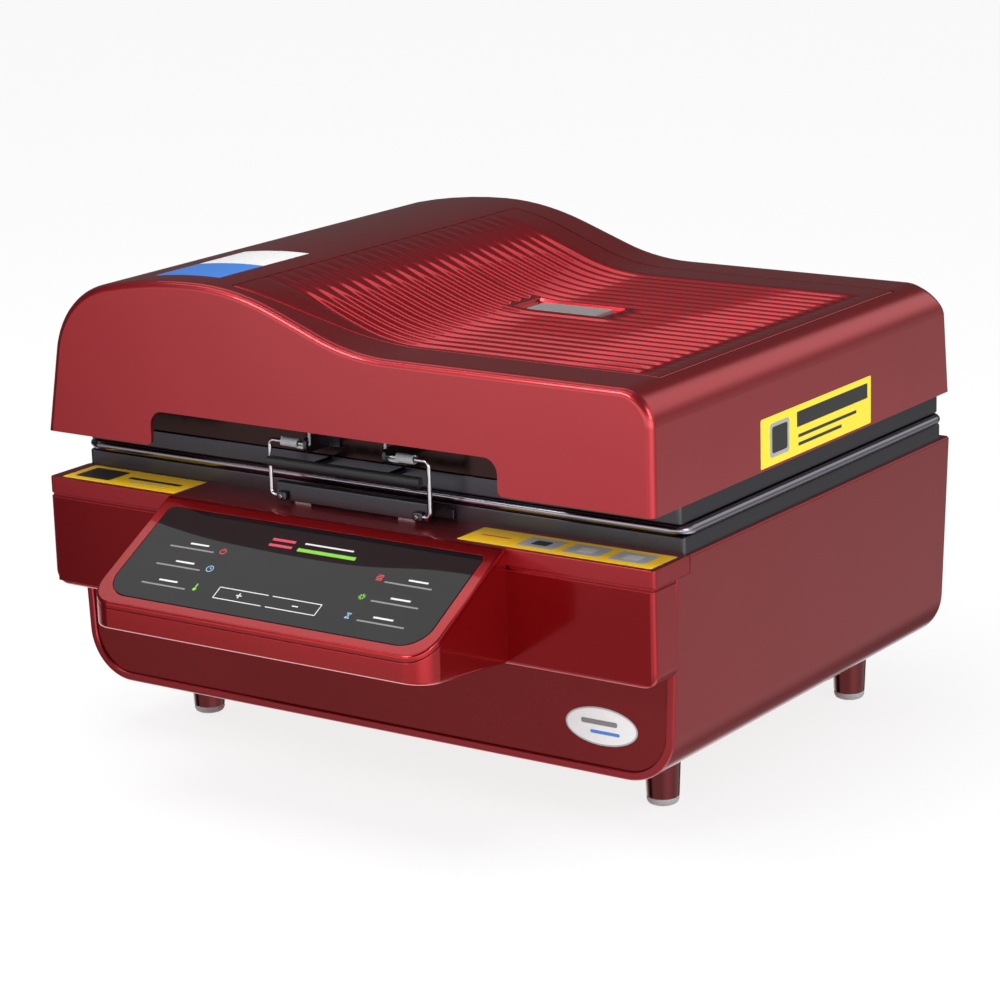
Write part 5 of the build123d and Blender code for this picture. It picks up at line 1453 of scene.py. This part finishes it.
class PRESS_OT_tray_frame(bpy.types.Operator):
    """Lower black frame round the well, with its two keeper pegs"""
    bl_idname = "heat_press.tray_frame"
    bl_label = "Tray Frame"

    def execute(self, context):
        x, y0, y1 = TRAY.right, TRAY.front + PEG["long"], TRAY.rear
        z0, z1 = TRAY.bottom, TRAY_TOP

        def outer(inset, z):
            return loop_of(x - inset, y0 + inset, y1 - inset, 4.0, z)

        loops = [outer(0, z0), outer(0, z1 - 1.4), outer(0.12, z1 - 0.9), outer(0.42, z1 - 0.42),
                 outer(0.9, z1 - 0.12), outer(1.5, z1), well_loop(1.0, z1), well_loop(0.3, z1 - 0.3),
                 well_loop(0, z1 - 1.0), well_loop(0, z0), well_loop(2, z0), well_loop(2, z1 - 4),
                 outer(TRAY_RIM, z1 - 4), outer(TRAY_RIM, z0)]
        obj = smooth(lofted("tray_frame_body", loops), 40)
        pegs = [block("peg", middle - PEG["half"], middle + PEG["half"], TRAY.front, y0 + 0.2, z0 + 1, z0 + 9)
                for middle in (-PEG["x"], PEG["x"])]
        for peg in pegs:
            soften(peg, 0.8, 3, 40)
        dress(joined("tray_frame_body", obj, *pegs), "base", "black frame", "tray_frame")
        return {"FINISHED"}


def knuckle_ring(name, x0, x1):
    """Hinge knuckle on the hinge line, bored for its pin."""
    radius, bore, ease, sides = HINGE["knuckle"], HINGE["bore"], 0.5, 36
    profile = [(bore, x0), (radius - ease, x0), (radius, x0 + ease), (radius, x1 - ease), (radius - ease, x1),
               (bore, x1)]

    def place(i, j):
        r, x = profile[j]
        a = 2 * pi * i / sides
        return at(x, HINGE["y"] + r * cos(a), HINGE["z"] + r * sin(a))

    return smooth(outward(skin(name, sides, len(profile), place, close_columns=True, close_rows=True)), 40)


class PRESS_OT_rolled_frame(bpy.types.Operator):
    """Membrane frame with its rolled edge, its rebate and its hinge arms"""
    bl_idname = "heat_press.rolled_frame"
    bl_label = "Rolled Frame"

    def execute(self, context):
        x, y0, z0, z1 = RIM.right, RIM.front, RIM_BOTTOM, RIM_TOP
        y1 = y0 + RIM_LONG
        r = (z1 - z0) / 2

        def outer(inset, z):
            return loop_of(x - inset, y0 + inset, y1 - inset, 16.0 - inset * 0.5, z)

        turn = [radians(t) for t in range(-90, 91, 15)]
        loops = [outer(r - r * cos(t), z0 + r + r * sin(t)) for t in turn]
        loops += [outer(9.0, z1), outer(10.0, z1 - 0.8), well_loop(REBATE + 3, z1 - 0.8),
                  well_loop(REBATE + 2, z1), well_loop(REBATE, z1), well_loop(REBATE, z1 - r),
                  well_loop(0, z1 - r), well_loop(0, z0), well_loop(4, z0), outer(9.0, z0)]
        obj = smooth(lofted("rolled_frame", loops), 40)
        extras = []
        for middle in (-HINGE["x"], HINGE["x"]):
            left, right = middle - HINGE["arm_half"], middle + HINGE["arm_half"]
            arm = block("arm", left, right, y1 - 8, HINGE["y"] - 4.5, HINGE["z"] - 2, HINGE["z"] + 2)
            extras += [soften(arm, 0.6, 2, 40), knuckle_ring("arm_knuckle", left, right)]
        obj = joined("rolled_frame", obj, *extras)
        # the frames' black made lighter here, so that the rolled edge shows a painted highlight
        dress(obj, "membrane_carrier", "rim black painted highlight", "membrane_frame")
        return {"FINISHED"}


class PRESS_OT_lid_pan(bpy.types.Operator):
    """Upper black frame: a pressed pan, lower along its front"""
    bl_idname = "heat_press.lid_pan"
    bl_label = "Lid Pan"

    def execute(self, context):
        x, y0, y1 = PAN.right, PAN.front, PAN.rear
        z0, low, high = PAN.bottom, PAN.bottom + 14.6, PAN.top

        def outer(inset, z, rim=None):
            loop = loop_of(x - inset, y0 + inset, y1 - inset, 4.0 - inset * 0.5, z)
            if rim is None:
                return loop
            return [(px, py, (low if py < y0 + 2.2 else high) - rim) for px, py, _ in loop]

        loops = [outer(1.6, z0), outer(0.9, z0 + 0.15), outer(0.3, z0 + 0.6), outer(0, z0 + 1.5)]
        loops += [outer(inset, 0, rim) for inset, rim in (
            (0, 0.8), (0.25, 0.25), (0.8, 0), (1.2, 0), (1.75, 0.25), (2.0, 0.8))]
        loops += [outer(2.0, z0 + 2.5), well_loop(2.0, z0 + 2.5), well_loop(2.0, z0 + 10.5),
                  well_loop(0, z0 + 10.5), well_loop(0, z0)]
        dress(smooth(lofted("lid_pan", loops), 40), "lid", "black frame", "lid_frame")
        return {"FINISHED"}


class PRESS_OT_membrane(bpy.types.Operator):
    """Silicone sheet gripped in the frame, hanging a little in its middle"""
    bl_idname = "heat_press.membrane"
    bl_label = "Membrane"

    def execute(self, context):
        box = Extent("membrane")
        columns, rows = 61, 45
        width, depth = box.right - box.left, box.rear - box.front
        grip = REBATE / 2
        sag = shape().membrane_sag / MM

        def place(i, j):
            u, v = i / (columns - 1), j / (rows - 1)
            x, y = box.left + width * u, box.front + depth * v
            free = min(x - box.left, box.right - x, y - box.front, box.rear - y) - grip
            swell = smoothstep(free / SAG_REACH) * sin(pi * u) * sin(pi * v)
            return at(x, y, box.top - sag * swell)

        obj = skin("membrane_sheet", columns, rows, place)
        face_up(obj)
        walled(obj, box.top - box.bottom)
        bpy.ops.object.shade_smooth_by_angle(angle=radians(40))
        dress(obj, "membrane_carrier", "membrane", "membrane")
        return {"FINISHED"}


# ---------------------------------------------------------------- latch
LATCH = {"y": -8.7, "z": 272.6, "wire": 3.5, "start": 36.0, "wire_x": 76.4, "bend": 4.0, "foot_z": 228.5,
         "foot_x": 62.3}
COIL = {"from": 47.0, "to": 65.0, "outer": 7.7, "wire": 1.8, "leg_wire": 2.4, "leg_bend": 5.5,
        "leg_rise": 21.0}


class PRESS_OT_latch_wires(bpy.types.Operator):
    """Bent wires of the latch"""
    bl_idname = "heat_press.latch_wires"
    bl_label = "Latch Wires"

    def execute(self, context):
        t, down = LATCH, (0, 1, 0)
        start, bend = t["start"], t["bend"]
        moves = [(t["wire_x"] - bend - start,), (bend, 90, down), (t["z"] - t["foot_z"] - 2 * bend,),
                 (bend, 90, down), (t["wire_x"] - bend - t["foot_x"],)]
        right = wire("latch_wire_right", (start, t["y"], t["z"]), (1, 0, 0), t["wire"], moves)
        soften(right, 0.5, 3, 60)
        dress_pair(right, 40, "latch", "chrome", "latch_wires")
        return {"FINISHED"}


class PRESS_OT_latch_springs(bpy.types.Operator):
    """Close coils round the pivots, each with a leg that rises behind the hood's edge"""
    bl_idname = "heat_press.latch_springs"
    bl_label = "Latch Springs"

    def execute(self, context):
        turns = shape().coil_turns
        c, t = COIL, LATCH
        mean = (c["outer"] - c["wire"]) / 2
        first = c["from"] + c["wire"] / 2
        pitch = (c["to"] - c["from"] - c["wire"]) / turns
        clear_selection()
        bpy.ops.mesh.primitive_circle_add(vertices=10, radius=min(pitch, c["wire"]) / 2 * MM * 0.985,
                                          location=at(first, t["y"], t["z"] + mean), rotation=(0, pi / 2, 0))
        coil = started("latch_spring_right")
        for vertex in coil.data.vertices:
            vertex.co -= at(0, t["y"], t["z"])
        with editing(coil):
            bpy.ops.transform.rotate(value=pi / 2, orient_axis="Z",
                                     center_override=(first * MM, 0, mean * MM))
        modify(coil, "SCREW", axis="X", angle=2 * pi, screw_offset=pitch * MM, iterations=turns, steps=20,
               render_steps=20, use_merge_vertices=False)
        with editing(coil):
            bpy.ops.transform.translate(value=at(0, t["y"], t["z"]))
            bpy.ops.mesh.select_all(action="DESELECT")
            bpy.ops.mesh.select_mode(type="EDGE")
            bpy.ops.mesh.select_non_manifold()
            bpy.ops.mesh.fill()
        outward(coil)
        leg = wire("leg", (c["from"] + 1.5, t["y"] - 0.4, t["z"] - mean), (-1, 0, 0),
                   c["leg_wire"], [(6.5,), (c["leg_bend"], 90, (0, 1, 0)), (c["leg_rise"],)], 12)
        right = joined("latch_spring_right", coil, leg)
        dress_pair(right, 50, "lid", "spring steel", "latch_springs")
        return {"FINISHED"}


class PRESS_OT_hook_plate(bpy.types.Operator):
    """Black hook plate between the wires, with its bent top flange, clips and screws"""
    bl_idname = "heat_press.hook_plate"
    bl_label = "Hook Plate"

    def execute(self, context):
        box = Extent("hook_plate")
        y0, z0, z1 = box.front, box.bottom, box.top
        t, bend = 2.5, 1.2
        side = [(y0, z0), (y0 + t, z0), (y0 + t, z1 - t), (box.rear, z1 - t), (box.rear, z1), (y0 + bend, z1),
                (y0, z1 - bend)]
        obj = sideways("hook_plate_bent", side, box.left, box.right)
        dress(smooth(soften(obj, 0.6, 3, 40)), "latch", "black frame", "hook_plate")
        clips, width = Extent("latch_clips"), 9.0
        clip = block("latch_clip_right", clips.right - width, clips.right, clips.front, clips.rear,
                     clips.bottom, clips.top)
        dress_pair(soften(clip, 1.5, 4, 40), 32, "latch", "black frame", "latch_clips")
        screws = Extent("latch_screws")
        profile = [(0.01, 1.0), (0.7, 1.0), (0.9, 0.5), (0.9, 0.0), (1.7, 0.0), (2.1, 0.35), (2.2, 0.9),
                   (2.2, screws.rear - screws.front)]
        centre = (clips.right - width / 2, screws.front, (screws.bottom + screws.top) / 2)
        screw = turned("latch_screw_right", profile, centre, "Y", 24)
        dress_pair(screw, 50, "latch", "screw steel", "latch_screws")
        return {"FINISHED"}


class PRESS_OT_grip(bpy.types.Operator):
    """Half round grip bar on its two posts"""
    bl_idname = "heat_press.grip"
    bl_label = "Grip Bar"

    def execute(self, context):
        box = Extent("handle_bar")
        y0, y1, z0, z1 = box.front, box.rear, box.bottom, box.top
        r = (z1 - z0) / 2 - 0.3
        side = rounded_box(y0, y1, z0, z1, (r, 0.8, 0.8, r))
        obj = soften(sideways("grip_bar", side, box.left, box.right), 0.7, 3, 60)
        dress(smooth(obj), "lid", "black plastic", "handle_bar")
        return {"FINISHED"}


# ---------------------------------------------------------------- feet
class PRESS_OT_feet(bpy.types.Operator):
    """Four tapered feet with soft tips"""
    bl_idname = "heat_press.feet"
    bl_label = "Feet"

    def execute(self, context):
        posts, tips = Extent("foot_posts"), Extent("foot_tips")
        radius, low, high = 15.0, tips.top, posts.top
        x, y0, y1 = posts.right - radius, posts.front + radius, posts.rear - radius
        post = [(0.01, low), (12.4, low), (13.0, low + 0.6), (14.7, high - 1.6), (radius, high - 0.8),
                (radius, high), (0.01, high)]
        tip = [(0.01, 0.0), (8.0, 0.0), (9.9, 0.35), (11.4, 1.2), (12.3, 2.5), (12.7, 4.0),
               (12.7, low - 0.8), (12.3, low), (0.01, low)]
        kinds = (("foot_post", post, "foot red"), ("foot_tip", tip, "foot grey"))
        firsts = [smooth(turned(name + "_1", profile, (x, y0, 0)), 35) for name, profile, _ in kinds]
        for first, (name, _, paint) in zip(firsts, kinds):
            made = [first] + [copied(first, f"{name}_{n}", (dx, dy, 0)) for n, (dx, dy) in enumerate(
                ((-2 * x, 0), (0, y1 - y0), (-2 * x, y1 - y0)), 2)]
            for piece in made:
                dress(piece, "base", paint, name + "s")
        return {"FINISHED"}


# ---------------------------------------------------------------- plates and film
FILM = 0.12


def film(name, outline, place, depth, paint, body):
    """A thin film or plate with a plain face."""
    dress(smooth(prism(name, outline, place, depth)), body, paint)


class PRESS_OT_films(bpy.types.Operator):
    """Plain films without words: hood side, deck, crest and the oval on the lower front"""
    bl_idname = "heat_press.films"
    bl_label = "Films"

    def execute(self, context):
        side_film()
        deck_films()
        crest_film()
        oval_film()
        return {"FINISHED"}


def side_film():
    """Yellow film on the hood's right side with plain bars."""
    for name, y0, y1, z0, z1, lift, paint, radius in (
            ("side_film", 121, 294, 262.5, 301, 0.0, "lemon", 1.5),
            ("side_film_band", 176, 288, 284, 296, 0.1, "black ink", 0.6),
            ("side_film_line_1", 178, 270, 275.5, 278, 0.1, "black ink", 0.3),
            ("side_film_line_2", 178, 246, 269, 271.5, 0.1, "black ink", 0.3),
            ("side_film_field", 135, 164, 268.5, 295, 0.1, "grey ink", 3.0),
            ("side_film_field_core", 138, 161, 271.5, 292, 0.18, "black ink", 2.0)):
        film(name, rounded_box(y0, y1, z0, z1, radius), lambda y, z: at(HOOD.right + lift, y, z),
             (FILM * MM, 0, 0), paint, "lid")


def deck_films():
    """Yellow films on the cap plate with plain fields."""
    strips = [
        ("left", -279, -161.5, -27.5, 14, 0.02, "yellow", 1.0),
        ("left_field", -272, -236, -20, 8, 0.12, "black ink", 2.0),
        ("left_band", -226, -172, -8, -3, 0.12, "black ink", 0.4),
        ("left_line", -218, -180, -16, -14, 0.12, "grey ink", 0.3),
        ("right", 114, 285, -28, 9, 0.02, "yellow", 1.0),
        ("right_line", 124, 150, -10, -7.5, 0.12, "red ink", 0.3),
    ]
    for n, core in enumerate(("black ink", "light ink", "light ink")):
        x0 = 162 + 40 * n
        strips += [(f"right_field_{n}", x0, x0 + 32, -20, 3, 0.12, "grey ink", 1.5),
                   (f"right_core_{n}", x0 + 9, x0 + 23, -14, -3, 0.2, core, 1.0)]
    for name, x0, x1, y0, y1, lift, paint, radius in strips:
        film("deck_film_" + name, rounded_box(x0, x1, y0, y1, radius),
             lambda x, y: at(x, y, CAP.top + lift), (0, 0, FILM * MM), paint, "base")


def crest_film():
    """Two tone film on the crest, bent over it."""
    path = hood_path(1.0)
    left, right, columns, rows, lift = -188.0, -122.0, 25, 5, 0.03
    for y0, y1, paint in ((-5.0, 50.0, "blue"), (50.0, 109.0, "white")):
        def place(i, j):
            x = left + (right - left) * i / (columns - 1)
            z, nx, nz = hood_height(x, path)
            return at(x + nx * lift, y0 + (y1 - y0) * j / (rows - 1), z + nz * lift)

        obj = skin("crest_film_" + paint, columns, rows, place)
        face_up(obj)
        dress(smooth(walled(obj, 0.05)), "lid", paint)


def oval_film():
    """White oval on the lower front panel, with two plain bars."""
    y, cx, cz = BASE.front + PANEL_BEHIND, 220.0, 83.0

    def oval(half_width, half_height):
        turns = (2 * pi * i / 72 for i in range(72))
        return [(cx + half_width * sin(a), cz + half_height * cos(a)) for a in turns]

    for name, outline, lift, paint in (
            ("oval_film_rim", oval(32, 15), 0.0, "grey ink"),
            ("oval_film", oval(30.6, 13.7), 0.1, "white"),
            ("oval_film_bar", rounded_box(cx - 18, cx + 14, cz + 1, cz + 5, 1.5), 0.2, "dim ink"),
            ("oval_film_line", rounded_box(cx - 10, cx + 16, cz - 6, cz - 3.4, 1.0), 0.2, "blue")):
        film(name, outline, lambda x, z: at(x, y - lift, z), (0, -FILM * MM, 0), paint, "base")


class PRESS_OT_badge(bpy.types.Operator):
    """Bare brushed badge in the ribbed panel's pocket, sunk inside its own rim"""
    bl_idname = "heat_press.badge"
    bl_label = "Badge"

    def execute(self, context):
        box = Extent("badge_plate")
        outline = rounded_box(box.left, box.right, box.front, box.rear, 2.0)
        obj = flat("badge", outline, box.bottom, box.top)
        with editing(obj, "FACE", lambda c, n: n.z > 0.9):
            bpy.ops.mesh.inset(thickness=1.4 * MM)
            bpy.ops.transform.translate(value=(0, 0, -0.35 * MM))
        round_edges(obj, 0.35, lambda a, b: min(a.z, b.z) > box.top - NEAR, 2)
        dress(smooth(obj), "lid", "brushed badge", "badge_plate")
        return {"FINISHED"}


# ---------------------------------------------------------------- hinges
# places of the screws from left to right
HINGE_SCREWS = (-198, -142, 142, 198)


class PRESS_OT_hinge_screws(bpy.types.Operator):
    """Pan head screws that hold the hinge leaves to the base and to the hood"""
    bl_idname = "heat_press.hinge_screws"
    bl_label = "Hinge Screws"

    def execute(self, context):
        lower, leaf = Extent("lower_hinge_leaves"), 2.5
        head = [(4.1, -0.9), (4.1, 0.7), (3.8, 1.5), (3.0, 2.1), (1.9, 2.3), (1.7, 1.1), (0.01, 1.0)]
        places = [("base", lower.bottom + rise, BASE.rear + leaf) for rise in (13, 45)]
        places += [("lid", HOOD.bottom + rise, BASE.rear + leaf - rise * tan(radians(REAR_LEAN)))
                   for rise in (16, 46)]
        for body, z, y in places:
            name = f"hinge_screw_{body}_{z:.0f}_"
            first = turned(name + "0", head, (HINGE_SCREWS[0], y, z), "Y", 28)
            row = [first] + [copied(first, name + str(i), (x - HINGE_SCREWS[0], 0, 0))
                             for i, x in enumerate(HINGE_SCREWS) if i]
            for screw in row:
                dress(smooth(screw, 40), body, "screw steel")
        return {"FINISHED"}


# ---------------------------------------------------------------- add-on
PIECES = (PRESS_OT_stage, PRESS_OT_hood, PRESS_OT_ribbed_top, PRESS_OT_base_shell, PRESS_OT_lower_front,
          PRESS_OT_cap, PRESS_OT_ledge, PRESS_OT_console, PRESS_OT_glass, PRESS_OT_glass_marks,
          PRESS_OT_tray_frame, PRESS_OT_rolled_frame, PRESS_OT_lid_pan, PRESS_OT_membrane,
          PRESS_OT_latch_wires, PRESS_OT_latch_springs, PRESS_OT_hook_plate, PRESS_OT_grip, PRESS_OT_feet,
          PRESS_OT_films, PRESS_OT_badge, PRESS_OT_hinge_screws)


class PRESS_PT_panel(bpy.types.Panel):
    """Lists the settings and the pieces of the press"""
    bl_idname = "PRESS_PT_panel"
    bl_label = "Heat Press"
    bl_space_type = "VIEW_3D"
    bl_region_type = "UI"
    bl_category = "Heat Press"

    def draw(self, context):
        layout = self.layout
        for title, settings in (("Shape", context.scene.heat_press_shape),
                                ("Finish", context.scene.heat_press_finish),
                                ("Stage", context.scene.heat_press_stage)):
            box = layout.box()
            box.label(text=title)
            for key in settings.bl_rna.properties.keys():
                if key not in ("rna_type", "name"):
                    box.prop(settings, key)
        for piece in PIECES:
            layout.operator(piece.bl_idname)


SETTINGS = (("heat_press_shape", HeatPressShape), ("heat_press_finish", HeatPressFinish),
            ("heat_press_stage", HeatPressStage))


def register():
    for name, group in SETTINGS:
        bpy.utils.register_class(group)
        setattr(bpy.types.Scene, name, PointerProperty(type=group))
    for made in (*PIECES, PRESS_PT_panel):
        bpy.utils.register_class(made)


def unregister():
    for made in (*PIECES, PRESS_PT_panel):
        bpy.utils.unregister_class(made)
    for name, group in SETTINGS:
        delattr(bpy.types.Scene, name)
        bpy.utils.unregister_class(group)


def plain(box):
    """Two corners as lists of numbers."""
    return [[round(value, 6) for value in point] for point in box]


def main():
    register()
    bpy.context.scene.view_settings.view_transform = "Standard"
    finish_nodes()
    for piece in PIECES:
        group, name = piece.bl_idname.split(".")
        getattr(getattr(bpy.ops, group), name)()
    clear_selection()
    {"cad": plain(CAD_BOX), "visual": plain(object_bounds())}


if __name__ == "__main__":
    main()
